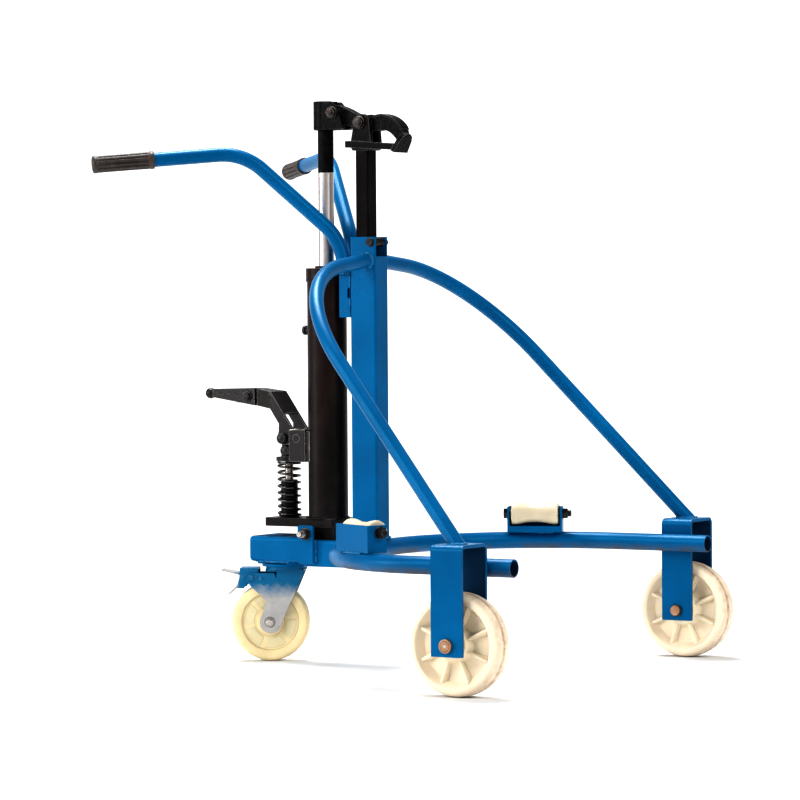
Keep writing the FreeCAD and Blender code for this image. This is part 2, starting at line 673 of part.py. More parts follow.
def jaw_lever():
    """Beak: slotted tail, pivot boss, arched neck with a wider rim, and the pad."""
    top = [(-517, 1036), (-508, 1041), (-498, 1039), (-478.7, 1031.5), (-465, 1024.7), (-449, 1019.8),
           (-431.5, 1016.7), (-421.3, 1018.6), (-404.5, 1020.5), (-387.8, 1016.3), (-374.5, 1008.7),
           (-364.5, 998.5), (-358.5, 984.5)]
    low = [(-366, 966), (-371, 970.6), (-378, 978.6), (-386.4, 986.0), (-396.4, 990.6), (-407.3, 991.6),
           (-428, 989.5), (-449, 992), (-472, 1000), (-490, 1005), (-509, 1013), (-518, 1019)]
    outline = top + low
    web = smooth_plate(outline, -JAW_HALF_W, JAW_HALF_W, straight=(len(top) - 1, len(top), len(outline) - 1))
    web = web.fuse(jaw_pad()).removeSplitter()
    web = web.cut(cross_pin(JAW_PIVOT, JAW_PIN_R + RUNNING, -40, 40))
    arm = V(JAW_PIVOT[0] - TAIL_PIN[0], 0, JAW_PIVOT[1] - TAIL_PIN[1]).normalize()
    half_gap = TAIL_PIN_R + 0.45
    start = V(TAIL_PIN[0], -20, TAIL_PIN[1]) - arm * 0.5
    stop = start + arm * TAIL_SLOT_TRAVEL
    across = Y_AXIS.cross(arm) * half_gap
    flat = Part.Face(Part.makePolygon([start + across, stop + across, stop - across, start - across, start + across]))
    slot = flat.extrude(V(0, 40, 0))
    for end in (start, stop):
        slot = slot.fuse(Part.makeCylinder(half_gap, 40, end, Y_AXIS))
    return web.cut(slot)


# ---------------------------------------------------------------- pump
def lever_side(y0, y1):
    outline = [(-646.8, 507), (-597, 437), (-580, 431.5), (-574.5, 424), (-574.5, 414), (-582, 408),
               (-612, 408), (-620, 407.5), (-628.5, 411), (-632, 419.6), (-629, 432), (-628.5, 447),
               (-648, 474.8)]
    return side_plate(outline, y0, y1)


def pump_lever():
    """Bent channel: pinned at the fulcrum, pushing the plunger, carrying the foot pedal."""
    inner = LEVER_HALF_W - LEVER_PLATE
    sides = lever_side(inner, LEVER_HALF_W).fuse(lever_side(-LEVER_HALF_W, -inner))
    web = side_plate([(-646.8, 507), (-618, 466.5), (-622.5, 463.5), (-651, 503.5)], -LEVER_HALF_W, LEVER_HALF_W)
    elbow = [V(-646.8, -LEVER_HALF_W, 507), V(-648, -LEVER_HALF_W, 474.8), V(-648, LEVER_HALF_W, 474.8),
             V(-646.8, LEVER_HALF_W, 507)]
    socket = [V(-685, -15, 512.8), V(-685, -15, 480), V(-685, 15, 480), V(-685, 15, 512.8)]
    loops = [Part.makePolygon(loop + [loop[0]]) for loop in (elbow, socket)]
    neck = Part.makeLoft(loops, True, True)
    hollow = [[V(p.x + 1, p.y * 0.8, 469 if p.z < 490 else p.z - 6) for p in elbow],
              [V(p.x + 8, p.y * 0.7, 470 if p.z < 490 else p.z - 6) for p in socket]]
    hollow = Part.makeLoft([Part.makePolygon(loop + [loop[0]]) for loop in hollow], True, True)
    tongue = box((-735, -684), (-8, 8), (485, 507))
    shape = neck.cut(hollow).fuse(tongue).fuse(sides).fuse(web).removeSplitter()
    shape = shape.cut(cross_pin(FULCRUM, 7.0 + RUNNING, -40, 40))
    shape = shape.cut(cross_pin((-710, 497.5), 5.0, -30, 30))
    return shape.cut(cross_pin(LEVER_PIN, 6.0, -40, 40))


def foot_pedal():
    """Tapered sleeve on the lever's tongue, ending in a ball."""
    wide = [V(-692, -14, 513), V(-692, -14, 480), V(-692, 14, 480), V(-692, 14, 513)]
    thin = [V(-793, -6.5, 510.5), V(-793, -6.5, 494.5), V(-793, 6.5, 494.5), V(-793, 6.5, 510.5)]
    loops = [Part.makePolygon(loop + [loop[0]]) for loop in (wide, thin)]
    bar = Part.makeLoft(loops, True, True)
    bar = bar.makeFillet(2.0, [edge for edge in bar.Edges if edge.Length > 90])
    ball = Part.makeSphere(10.2, V(-801, 0, 502))
    bar = bar.fuse(ball).removeSplitter()
    return bar.cut(box((-735, -690), (-8, 8), (485, 507))).cut(cross_pin((-710, 497.5), 5.0, -30, 30))


def pedal_bolt():
    shank = cross_pin((-710, 497.5), 5.0, -14, 20)
    head = hexagon((-710, -13.4, 497.5), (0, -1, 0), 16.0, 6.5)
    nut = hexagon((-710, 13.4, 497.5), (0, 1, 0), 16.0, 7.0)
    return shank.fuse(head).fuse(nut).removeSplitter()


def pump_links():
    y0, y1 = LINK_HALF_GAP, LINK_HALF_GAP + LINK_PLATE
    upper = cross_pin(LEVER_PIN, 9.5, y0, y1)
    lower = cross_pin(PLUNGER_PIN, 9.5, y0, y1)
    bar = box((-629.5, -610.5), (y0, y1), (PLUNGER_PIN[1], LEVER_PIN[1]))
    link = upper.fuse(lower).fuse(bar).removeSplitter()
    link = link.cut(cross_pin(LEVER_PIN, 6.0 + RUNNING, 0, 40))
    link = link.cut(cross_pin(PLUNGER_PIN, 6.0 + 1.1, 0, 40))
    return both_sides(link)


def upper_link_pin():
    half = LEVER_HALF_W
    shank = cross_pin(LEVER_PIN, 6.0, -half, half)
    shape = shank
    for side in (-1, 1):
        head = cross_pin(LEVER_PIN, 10.5, min(side * half, side * (half + 6)), max(side * half, side * (half + 6)))
        shape = shape.fuse(rounded(head, 1.5, lambda edge: abs(edge.CenterOfMass.y) > half + 5))
    return shape.removeSplitter()


def lower_link_pin():
    half = LINK_HALF_GAP + LINK_PLATE + SLIDING
    shape = cross_pin(PLUNGER_PIN, 6.0, -half, half)
    for side in (-1, 1):
        y0, y1 = sorted((side * half, side * (half + 5)))
        head = cross_pin(PLUNGER_PIN, 10.5, y0, y1)
        shape = shape.fuse(rounded(head, 1.5, lambda edge: abs(edge.CenterOfMass.y) > half + 4))
    return shape.removeSplitter()


def plunger():
    return upright(PUMP_X, 0, PLUNGER_R, 306, SEAT_Z[0])


def plunger_head():
    """Spring seat with a lug for the link pin."""
    seat = upright(PUMP_X, 0, 24.5, SEAT_Z[0], SEAT_Z[1])
    seat = rounded(seat, 1.5, lambda edge: edge.Length > 100)
    lug_half = LINK_HALF_GAP - SLIDING
    lug = side_plate([(-636, SEAT_Z[1] - 1), (-631, 397), (-626, 405), (-614, 405), (-609, 397),
                      (-608, SEAT_Z[1] - 1)], -lug_half, lug_half)
    return seat.fuse(lug).removeSplitter().cut(cross_pin(PLUNGER_PIN, 6.0, -30, 30))


def pump_spring():
    """Compression spring with flattened end coils."""
    height = SPRING_Z[1] - SPRING_Z[0]
    helix = Part.makeHelix(height / SPRING_COILS, height, SPRING_R)
    wire = Part.Wire(helix)
    section = Part.Wire([Part.Circle(V(SPRING_R, 0, 0), Y_AXIS, SPRING_WIRE_R).toShape()])
    coil = wire.makePipeShell([section], True, True)
    coil.translate(V(PUMP_X, 0, SPRING_Z[0]))
    return coil


# ---------------------------------------------------------------- caster
def at_caster(shape):
    """Carry a shape built with its trail along X and its swivel axis on Z to the truck."""
    moved = shape.copy()
    moved.rotate(V(0, 0, 0), Z_AXIS, 180.0 + CASTER_TURN)
    moved.translate(V(CASTER_X, 0, 0))
    return moved


def caster_plate():
    plate = box((-676, -584), (-38, 38), PLATE_Z)
    plate = rounded(plate, 10.0, lambda edge: along(edge, Z_AXIS))
    race = ring(CASTER_X, 0, 46.0, 22.0, 178.5, PLATE_Z[0])
    king_pin = upright(CASTER_X, 0, 8.0, 160.0, PLATE_Z[0])
    king_nut = hexagon((CASTER_X, 0, 164.0), (0, 0, -1), 19.0, 6.0)
    return plate.fuse(race).fuse(king_pin).fuse(king_nut).removeSplitter()


def caster_fork():
    """Pressed crown with a raised bearing ring, two legs and the brake's wings."""
    crown = upright(0, 0, 40.0, CROWN_Z[0], CROWN_Z[1])
    crown = crown.common(box((-34, 50), (-LEG_INNER - LEG_PLATE, LEG_INNER + LEG_PLATE), (160, 180)))
    deck = box((-30, 22), (-LEG_INNER - LEG_PLATE, LEG_INNER + LEG_PLATE), CROWN_Z)
    race = ring(0, 0, 39.0, 20.0, CROWN_Z[1], 178.5 - SLIDING)
    foot = CASTER_TRAIL - 2.0
    outline = [(-36, CROWN_Z[1]), (-18.5, 131), (foot - FOOT_R, CASTER_R), (foot + FOOT_R, CASTER_R),
               (36, 114), (64, 140), (70, 147), (74, 151), (74, 163), (68, 166), (21, 166), (18, 157),
               (15, CROWN_Z[1])]
    leg = side_plate(outline, LEG_INNER, LEG_INNER + LEG_PLATE)
    leg = leg.fuse(cross_pin((foot, CASTER_R), FOOT_R, LEG_INNER, LEG_INNER + LEG_PLATE)).removeSplitter()
    leg = leg.cut(cross_pin((CASTER_TRAIL, CASTER_R), CASTER_AXLE_R, 0, 60))
    leg = leg.cut(cross_pin(BRAKE_PIVOT, 4.0, 0, 60))
    shape = crown.fuse(deck).fuse(race).fuse(leg).fuse(mirrored(leg)).removeSplitter()
    shape = shape.cut(upright(0, 0, 9.0, 150, 200))
    return at_caster(shape)


def caster_wheel():
    half = CASTER_W / 2.0
    bore = CASTER_AXLE_R + RUNNING
    rim = [(bore, -half - 2), (19, -half - 2), (20, -half + 3), (26, -half + 3.5), (27, -half + 6),
           (52, -half + 6), (54, -half), (70, -half), (72.5, -half + 3), (CASTER_R, -half + 12),
           (CASTER_R, half - 12), (72.5, half - 3), (70, half), (54, half), (52, half - 6),
           (27, half - 6), (26, half - 3.5), (20, half - 3), (19, half + 2), (bore, half + 2)]
    corners = [V(radius, offset, 0) for radius, offset in rim]
    face = Part.Face(Part.makePolygon(corners + [corners[0]]))
    wheel = face.revolve(V(0, 0, 0), Y_AXIS, 360)
    for step in range(6):
        rib = box((27, 53), (-half + 2.5, half - 2.5), (-3, 3))
        rib.rotate(V(0, 0, 0), Y_AXIS, 60 * step)
        wheel = wheel.fuse(rib)
    wheel = wheel.removeSplitter()
    wheel.translate(V(CASTER_TRAIL, 0, CASTER_R))
    return at_caster(wheel)


def caster_axle():
    out = LEG_INNER + LEG_PLATE
    centre = (CASTER_TRAIL, CASTER_R)
    shape = cross_pin(centre, CASTER_AXLE_R, -out - 9, out)
    shape = shape.fuse(hexagon((centre[0], -out, centre[1]), (0, -1, 0), 19.0, 6.0))
    shape = shape.fuse(hexagon((centre[0], out, centre[1]), (0, 1, 0), 19.0, 6.0)).removeSplitter()
    return at_caster(shape)


def brake_pedal():
    """Bent rocker between the wings with a lock tab above and a release tab below."""
    half = LEG_INNER - SLIDING
    outline = [(52, 175.5), (86, 175.5), (87.5, 158), (92, 142), (91, 137.5), (79, 137.5), (72.5, 147),
               (64, 150), (56, 156), (52, 168)]
    cheek = side_plate(outline, half - 3.0, half)
    top = side_plate([(52, 175.5), (52, 172.5), (84, 172.5), (86, 175.5)], -half, half)
    heel = side_plate([(86, 175.5), (87.5, 158), (92, 142), (89, 141.5), (84.5, 157.5), (83, 173)], -half, half)
    lock_tab = side_plate([(85.5, 162), (85.5, 165.5), (121, 173.0), (121, 170.5)], -half + 4, half - 4)
    free_tab = side_plate([(89, 141), (92, 143), (109.5, 127.5), (107.5, 125)], -half + 6, half - 6)
    shape = cheek.fuse(mirrored(cheek)).fuse(top).fuse(heel).fuse(lock_tab).fuse(free_tab)
    shape = shape.removeSplitter().cut(cross_pin(BRAKE_PIVOT, 4.0 + RUNNING, -60, 60))
    return at_caster(shape)


def brake_pin():
    out = LEG_INNER + LEG_PLATE
    shape = cross_pin(BRAKE_PIVOT, 4.0, -out, out)
    for side in (-1, 1):
        y0, y1 = sorted((side * out, side * (out + 2.5)))
        shape = shape.fuse(cross_pin(BRAKE_PIVOT, 6.5, y0, y1))
    return at_caster(shape.removeSplitter())


# ---------------------------------------------------------------- export
def build():
    """All nodes of the truck by name."""
    nodes = {
        "base_tube": base_tube(),
        "spine_front_box": spine_front_box(),
        "spine_rear_box": spine_rear_box(),
        "jack_lugs": jack_lugs(),
        "mast_foot": mast_foot(),
        "mast_tube": mast_tube(),
        "handle_plates": handle_plates(),
        "guide_roller": guide_roller(),
        "guide_bolt": guide_bolt(),
        "wear_pads": wear_pads(),
        "inner_mast": inner_mast(),
        "axle_pins": both_sides(axle_pin()),
        "axle_spacers": axle_spacers(),
        "roller_bolts": both_sides(roller_bolt()),
        "jack_base": jack_base(),
        "jack_pivot_bolt": jack_pivot_bolt(),
        "jack_cylinder": jack_cylinder(),
        "cylinder_cap": cylinder_cap(),
        "filler_plug": filler_plug(),
        "release_valve": release_valve(),
        "pump_barrel": pump_barrel(),
        "fulcrum_bracket": fulcrum_bracket(),
        "fulcrum_pin": fulcrum_pin(),
        "ram_rod": ram_rod(),
        "piston": piston(),
        "ram_head": ram_head(),
        "head_pin": head_pin(),
        "lower_jaw": lower_jaw(),
        "jaw_clevis": jaw_clevis(),
        "jaw_pivot_bolt": jaw_pivot_bolt(),
        "jaw_lever": jaw_lever(),
        "pump_lever": pump_lever(),
        "foot_pedal": foot_pedal(),
        "pedal_bolt": pedal_bolt(),
        "pump_links": pump_links(),
        "upper_link_pin": upper_link_pin(),
        "lower_link_pin": lower_link_pin(),
        "plunger": plunger(),
        "plunger_head": plunger_head(),
        "pump_spring": pump_spring(),
        "caster_plate": caster_plate(),
        "caster_fork": caster_fork(),
        "caster_wheel": caster_wheel(),
        "caster_axle": caster_axle(),
        "brake_pedal": brake_pedal(),
        "brake_pin": brake_pin(),
    }
    left_hand = {
        "fork": fork(),
        "front_wheel": front_wheel(),
        "brace": brace(),
        "handle": handle(),
        "grip": grip(),
        "roller_bracket": roller_bracket(),
        "drum_roller": drum_roller(),
    }
    for name, shape in left_hand.items():
        nodes[name + "_left"] = shape
        nodes[name + "_right"] = mirrored(shape)
    return nodes


def export(nodes):
    os.makedirs(OUT_DIR, exist_ok=True)
    outline = FreeCAD.BoundBox()
    for name, shape in sorted(nodes.items()):
        shape.translate(V(AXLE_X, 0, 0))
        shape.exportStep(os.path.join(OUT_DIR, name + ".step"))
        outline.add(shape.BoundBox)
        state = "ok" if shape.isValid() else "NOT VALID"
        print("%-22s solids %d  volume %9.0f mm3  %s" % (name, len(shape.Solids), shape.Volume, state))
    print("%d nodes, outline" % len(nodes), outline)
    print("middle x %.3f y %.3f" % (outline.Center.x, outline.Center.y))


export(build())
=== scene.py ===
import json
import math
import random

import bmesh
import bpy
from mathutils import Matrix, Vector


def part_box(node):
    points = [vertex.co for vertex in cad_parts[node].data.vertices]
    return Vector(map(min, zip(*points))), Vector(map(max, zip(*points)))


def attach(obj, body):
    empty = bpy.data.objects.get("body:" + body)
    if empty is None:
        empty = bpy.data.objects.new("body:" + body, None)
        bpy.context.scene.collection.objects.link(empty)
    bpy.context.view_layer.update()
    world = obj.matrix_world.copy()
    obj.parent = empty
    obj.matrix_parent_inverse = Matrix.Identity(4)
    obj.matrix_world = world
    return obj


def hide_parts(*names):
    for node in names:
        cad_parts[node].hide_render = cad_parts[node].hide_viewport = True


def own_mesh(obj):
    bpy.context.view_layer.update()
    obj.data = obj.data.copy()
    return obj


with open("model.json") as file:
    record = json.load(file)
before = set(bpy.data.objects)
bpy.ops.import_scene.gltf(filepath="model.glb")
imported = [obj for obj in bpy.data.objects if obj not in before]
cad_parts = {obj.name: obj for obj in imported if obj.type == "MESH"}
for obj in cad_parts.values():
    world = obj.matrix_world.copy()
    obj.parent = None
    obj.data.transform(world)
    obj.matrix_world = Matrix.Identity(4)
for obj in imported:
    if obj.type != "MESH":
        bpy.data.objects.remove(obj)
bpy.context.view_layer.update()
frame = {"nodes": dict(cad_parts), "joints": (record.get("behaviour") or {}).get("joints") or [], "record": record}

NODES = frame["nodes"]
JOINTS = {joint["name"]: joint for joint in frame["joints"]}
X_AXIS = Vector((1, 0, 0))
Y_AXIS = Vector((0, 1, 0))
Z_AXIS = Vector((0, 0, 1))
MM = 0.001
SIDES = (("left", 1), ("right", -1))
AXLE_X = JOINTS["left_wheel_spin"]["pos_m"][0]

# metres in the frame, for the paint masks
FORK_MIDDLE = 0.417         # sideways, between a fork's two cheeks
FORK_GAP = 0.0375           # half the clear width of a fork
FORK_CEILING = 0.256
LEG_MIDDLE = 0.358          # sideways, to a leg of the base tube
LEG_HEIGHT = 0.2184
LEG_BORE = 0.0138
REAR_BOX_TOP = 0.2357
ROD_JOIN = 0.916            # where the ram rod's black paint begins

# millimetres, with x from the front axle
PIVOT_BOLT = (-551.5, 243.5)
HEAD_BOLT = (-508, 1027)
JAW_BOLT = (-449, 1007)
PEDAL_BOLT = (-710, 497.5)
GUIDE_BOLT = (-424.7, 785)
JACK_BASE_TOP = 271.0
ROLLER_TURN = math.radians(25.0)

# millimetres, in the caster's own frame
CASTER_HEADING = math.radians(208.0)
CASTER_TRAIL = 30
CASTER_RADIUS = 74
CASTER_CHEEK = 28.5         # outer face of the fork
BRAKE_TABS = (98, 0, 165)   # the paint is worn off beyond this point


def centre_of(node):
    low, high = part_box(node)
    return (low + high) / 2


def show(obj):
    bpy.context.scene.collection.objects.link(obj)


# ---- camera, light, floor
def make_camera():
    """Long lens from the front right, at two thirds of the truck's height."""
    position = Vector((3.8835, -6.2169, 0.7076))
    target = Vector((0.0015, 0.0, 0.493))
    roll = math.radians(-0.42)
    ahead = (target - position).normalized()
    right = ahead.cross(Z_AXIS).normalized()
    up = right.cross(ahead)
    tilted_right = swing(right, up, roll)
    tilted_up = swing(up, -right, roll)
    data = bpy.data.cameras.new("camera")
    data.sensor_width = 36.0
    data.lens = 178.49
    data.clip_end = 60.0
    camera = bpy.data.objects.new("camera", data)
    matrix = Matrix((tilted_right, tilted_up, -ahead)).transposed().to_4x4()
    matrix.translation = position
    camera.matrix_world = matrix
    show(camera)
    bpy.context.scene.camera = camera


def area_light(name, position, target, size, power, colour=(1, 1, 1)):
    data = bpy.data.lights.new(name, "AREA")
    data.shape = "RECTANGLE"
    data.size, data.size_y = size
    data.energy = power
    data.color = colour
    lamp = bpy.data.objects.new(name, data)
    lamp.location = position
    aim = Vector(target) - Vector(position)
    lamp.rotation_mode = "QUATERNION"
    lamp.rotation_quaternion = aim.to_track_quat("-Z", "Y")
    show(lamp)


def make_world():
    """Pale studio surround: brightest behind the truck at eye level, dimmer overhead."""
    world = bpy.data.worlds.new("studio")
    bpy.context.scene.world = world
    world.use_nodes = True
    nodes, links = world.node_tree.nodes, world.node_tree.links
    place = nodes.new("ShaderNodeTexCoord").outputs["Generated"]
    split = nodes.new("ShaderNodeSeparateXYZ")
    links.new(place, split.inputs[0])
    behind = nodes.new("ShaderNodeVectorMath")
    behind.operation = "DOT_PRODUCT"
    links.new(place, behind.inputs[0])
    behind.inputs[1].default_value = (-0.53, 0.85, 0.0)
    ranges = []
    for socket, values in ((behind.outputs["Value"], (0.45, 0.95, 0.36, 1.0)),
                           (split.outputs["Z"], (0.1, 0.42, 1.0, 0.3))):
        fade = nodes.new("ShaderNodeMapRange")
        fade.interpolation_type = "SMOOTHSTEP"
        for index, value in enumerate(values):
            fade.inputs[index + 1].default_value = value
        links.new(socket, fade.inputs[0])
        ranges.append(fade.outputs[0])
    product = nodes.new("ShaderNodeMath")
    product.operation = "MULTIPLY"
    links.new(ranges[0], product.inputs[0])
    links.new(ranges[1], product.inputs[1])
    links.new(product.outputs[0], nodes["Background"].inputs["Strength"])
    nodes["Background"].inputs["Color"].default_value = (1, 1, 1, 1)


def make_floor():
    bm = bmesh.new()
    bmesh.ops.create_circle(bm, cap_ends=True, segments=96, radius=2.05)
    mesh = bpy.data.meshes.new("floor")
    bm.to_mesh(mesh)
    bm.free()
    floor = bpy.data.objects.new("floor", mesh)
    floor.location.z = -0.0005
    show(floor)
    graph = Graph("floor")
    graph.surface(base=(0.8, 0.8, 0.8, 1), rough=0.9, specular=0.05)
    mesh.materials.append(graph.material)


def make_studio():
    make_world()
    area_light("key", (-2.1, -5.2, 3.4), (0, 0, 0.4), (2.2, 2.2), 160, (1.0, 0.99, 0.97))
    area_light("top", (-0.9, 0.6, 3.6), (-0.1, 0, 0.5), (1.6, 1.6), 165)
    area_light("front", (3.9, -0.9, 2.7), (0, 0, 0.5), (1.8, 1.8), 85)
    area_light("side", (-3.6, -3.2, 1.3), (-0.1, 0, 0.6), (1.2, 2.0), 75)
    settings = bpy.context.scene.view_settings
    settings.view_transform = "Standard"
    settings.look = "High Contrast"
    make_floor()


# ---- shader helper
class Graph:
    """A material whose nodes are added one call at a time."""

    def __init__(self, name):
        self.material = bpy.data.materials.new(name)
        self.material.use_nodes = True
        self.tree = self.material.node_tree
        self.tree.nodes.clear()
        self.output = self.tree.nodes.new("ShaderNodeOutputMaterial")
        self.place = self.add("ShaderNodeTexCoord").outputs["Object"]

    def add(self, kind, settings=None, **inputs):
        node = self.tree.nodes.new(kind)
        for key, value in (settings or {}).items():
            setattr(node, key, value)
        for key, value in inputs.items():
            self.feed(node.inputs[key.replace("_", " ")], value)
        return node

    def feed(self, socket, value):
        if isinstance(value, bpy.types.NodeSocket):
            self.tree.links.new(value, socket)
        else:
            socket.default_value = value

    def noise(self, scale, detail=3.0, rough=0.5, stretch=None):
        place = self.place
        if stretch:
            mapping = self.add("ShaderNodeMapping", Vector=self.place)
            mapping.inputs["Scale"].default_value = stretch
            place = mapping.outputs["Vector"]
        node = self.add("ShaderNodeTexNoise", Vector=place, Scale=scale, Detail=detail, Roughness=rough)
        return node.outputs["Fac"]

    def ramp(self, value, stops):
        """Colour or grey ramp: stops are (position, colour or number)."""
        node = self.add("ShaderNodeValToRGB", Fac=value)
        elements = node.color_ramp.elements
        while len(elements) > 1:
            elements.remove(elements[0])
        for index, (position, colour) in enumerate(stops):
            if not isinstance(colour, tuple):
                colour = (colour, colour, colour)
            element = elements[0] if index == 0 else elements.new(position)
            element.position = position
            element.color = (*colour, 1)
        return node.outputs["Color"]

    def maths(self, operation, first, second=0.0):
        node = self.add("ShaderNodeMath", {"operation": operation})
        self.feed(node.inputs[0], first)
        self.feed(node.inputs[1], second)
        return node.outputs[0]

    def vector(self, operation, first, second=(0, 0, 0)):
        """A vector from SUBTRACT, a number from DOT_PRODUCT and LENGTH."""
        node = self.add("ShaderNodeVectorMath", {"operation": operation})
        self.feed(node.inputs[0], first)
        self.feed(node.inputs[1], second)
        return node.outputs["Vector" if operation == "SUBTRACT" else "Value"]

    def mix(self, factor, first, second):
        node = self.add("ShaderNodeMix", {"data_type": "RGBA"})
        self.feed(node.inputs[0], factor)
        for socket, colour in ((node.inputs[6], first), (node.inputs[7], second)):
            self.feed(socket, colour if isinstance(colour, bpy.types.NodeSocket) else (*colour, 1))
        return node.outputs[2]

    def stain(self, base, colour, value, low, high, amount):
        """The base with up to that amount of a colour where the value rises from low to high."""
        return self.mix(self.ramp(value, [(low, 0.0), (high, amount)]), base, colour)

    def times(self, first, second):
        return self.maths("MULTIPLY", first, second)

    def remap(self, value, low, high, to_low, to_high):
        node = self.add("ShaderNodeMapRange", Value=value)
        for index, bound in enumerate((low, high, to_low, to_high)):
            node.inputs[index + 1].default_value = bound
        return node.outputs[0]

    def edges(self, radius, low=0.02, high=0.25):
        """Mask that is 1 on convex and concave edges."""
        bevel = self.add("ShaderNodeBevel", {"samples": 4}, Radius=radius)
        plain = self.add("ShaderNodeNewGeometry")
        facing = self.vector("DOT_PRODUCT", bevel.outputs["Normal"], plain.outputs["Normal"])
        return self.remap(self.maths("SUBTRACT", 1.0, facing), low, high, 0.0, 1.0)

    def axis(self, name):
        split = self.add("ShaderNodeSeparateXYZ", Vector=self.place)
        return split.outputs[name]

    def bump(self, layers):
        """Chain of bumps from (height socket, distance in metres, strength)."""
        normal = None
        for height, distance, strength in layers:
            node = self.add("ShaderNodeBump", Height=height, Distance=distance, Strength=strength)
            if normal:
                self.feed(node.inputs["Normal"], normal)
            normal = node.outputs["Normal"]
        return normal

    def surface(self, base, rough, metal=0.0, specular=0.5, normal=None, glow=0.0, tint=(1.0, 1.0, 1.0)):
        shader = self.add("ShaderNodeBsdfPrincipled")
        for name, value in (("Base Color", base), ("Roughness", rough), ("Metallic", metal),
                            ("Specular IOR Level", specular)):
            self.feed(shader.inputs[name], value)
        shader.inputs["Specular Tint"].default_value = (*tint, 1)
        if glow:
            shader.inputs["Subsurface Weight"].default_value = glow
            shader.inputs["Subsurface Radius"].default_value = (0.012, 0.008, 0.004)
            shader.inputs["Subsurface Scale"].default_value = 0.6
        if normal:
            self.feed(shader.inputs["Normal"], normal)
        self.tree.links.new(shader.outputs[0], self.output.inputs["Surface"])
        return self.material


# ---- materials
def blue_paint(name, weld=0.0, painted_shade=None, soil=None):
    """Sprayed enamel with dust nibs, scratches and chips; weld raises the burnt and bare share.

    The shade mask function gives painted shade: faces in hollows and on the box top made darker and duller; soil
    gives the mask of earth stains."""
    g = Graph(name)
    broad = g.noise(7.0, 4.0, 0.55)
    fine = g.noise(60.0, 4.0, 0.6)
    base = g.ramp(broad, [(0.3, (0.0, 0.086, 0.208)), (0.5, (0.0, 0.102, 0.245)), (0.72, (0.0, 0.122, 0.29))])
    ragged = g.ramp(g.noise(130.0, 4.0, 0.7), [(0.6, 0.0), (0.66, 1.0)])
    chips = g.times(g.edges(0.0014, 0.03, 0.3), ragged)
    pits = g.ramp(g.noise(240.0, 2.0, 0.5), [(0.77, 0.0), (0.79, 0.7)])
    worn = g.maths("MAXIMUM", chips, pits)
    if weld:
        worn = g.ramp(g.noise(70.0, 5.0, 0.7), [(0.54, 0.0), (0.66, weld)])
        base = g.stain(base, (0.1, 0.3, 0.5), g.noise(110.0, 4.0, 0.7), 0.4, 0.62, 0.55)
    rust = g.ramp(fine, [(0.35, (0.03, 0.012, 0.008)), (0.55, (0.12, 0.06, 0.035)), (0.7, (0.24, 0.21, 0.2))])
    base = g.stain(base, (0.002, 0.05, 0.12), g.noise(16.0, 6.0, 0.7, (1.0, 1.0, 3.0)), 0.6, 0.8, 0.25)
    base = g.stain(base, (0.04, 0.18, 0.34), g.noise(30.0, 4.0, 0.6, (9.0, 9.0, 0.8)), 0.68, 0.74, 0.12)
    base = g.mix(worn, base, rust)
    rough = g.maths("ADD", g.remap(fine, 0.2, 0.8, 0.3, 0.4), g.times(worn, 0.35))
    if soil:
        stain = soil(g)
        base = g.mix(stain, base, (0.085, 0.07, 0.065))
        rough = g.maths("ADD", rough, g.times(stain, 0.3))
    gloss = 0.3
    # Painted shade: the masked faces are darkened towards black and lose their gloss.
    if painted_shade:
        shade_mask = painted_shade(g)
        base = g.mix(g.times(shade_mask, 0.72), base, (0.012, 0.01, 0.014))
        rough = g.maths("ADD", rough, g.times(shade_mask, 0.4))
        gloss = g.remap(shade_mask, 0.0, 1.0, gloss, 0.05)
    peel = g.noise(380.0, 2.0, 0.5)
    ripple = g.noise(45.0, 2.0, 0.5)
    film = g.maths("SUBTRACT", 1.0, worn)
    normal = g.bump([(peel, 0.0002, 0.03), (ripple, 0.001, 0.06), (film, 0.0005, 0.6)])
    return g.surface(base, rough, 0.0, gloss, normal, tint=(0.1, 0.6, 1.0))


def within(g, value, reach):
    """1 where the value is nearer to zero than the reach."""
    return g.remap(g.maths("ABSOLUTE", value), reach - 0.0002, reach + 0.0002, 1.0, 0.0)


# Painted shade on the inner faces of each fork, below its ceiling.
def shaded_fork_inside(g):
    middle = g.maths("SUBTRACT", g.maths("ABSOLUTE", g.axis("Y")), FORK_MIDDLE)
    under = g.remap(g.axis("Z"), FORK_CEILING - 0.0004, FORK_CEILING + 0.0004, 1.0, 0.0)
    return g.times(within(g, middle, FORK_GAP), under)


# Painted shade inside the bore of the base tube, towards its front ends.
def shaded_leg_bore(g):
    across = g.maths("SUBTRACT", g.maths("ABSOLUTE", g.axis("Y")), LEG_MIDDLE)
    up = g.maths("SUBTRACT", g.axis("Z"), LEG_HEIGHT)
    square = g.maths("ADD", g.times(across, across), g.times(up, up))
    legs = g.remap(g.axis("X"), 0.26, 0.27, 0.0, 1.0)
    return g.times(within(g, g.maths("SQRT", square), LEG_BORE), legs)


def under_leg(g):
    """Earth on the lower side of the base tube."""
    low = g.remap(g.axis("Z"), 0.206, 0.2185, 1.0, 0.0)
    return g.times(low, g.ramp(g.noise(20.0, 5.0, 0.7), [(0.36, 0.0), (0.58, 0.85)]))


def oil_and_shade_on_box_top(g):
    """The upper face of the rear box, round the jack, darkened almost to black: partly oil and dust, partly
    painted shade.
    """
    top = g.remap(g.axis("Z"), REAR_BOX_TOP - 0.0005, REAR_BOX_TOP + 0.0005, 0.0, 1.0)
    return g.times(top, g.ramp(g.noise(34.0, 5.0, 0.7), [(0.3, 0.45), (0.6, 1.0)]))


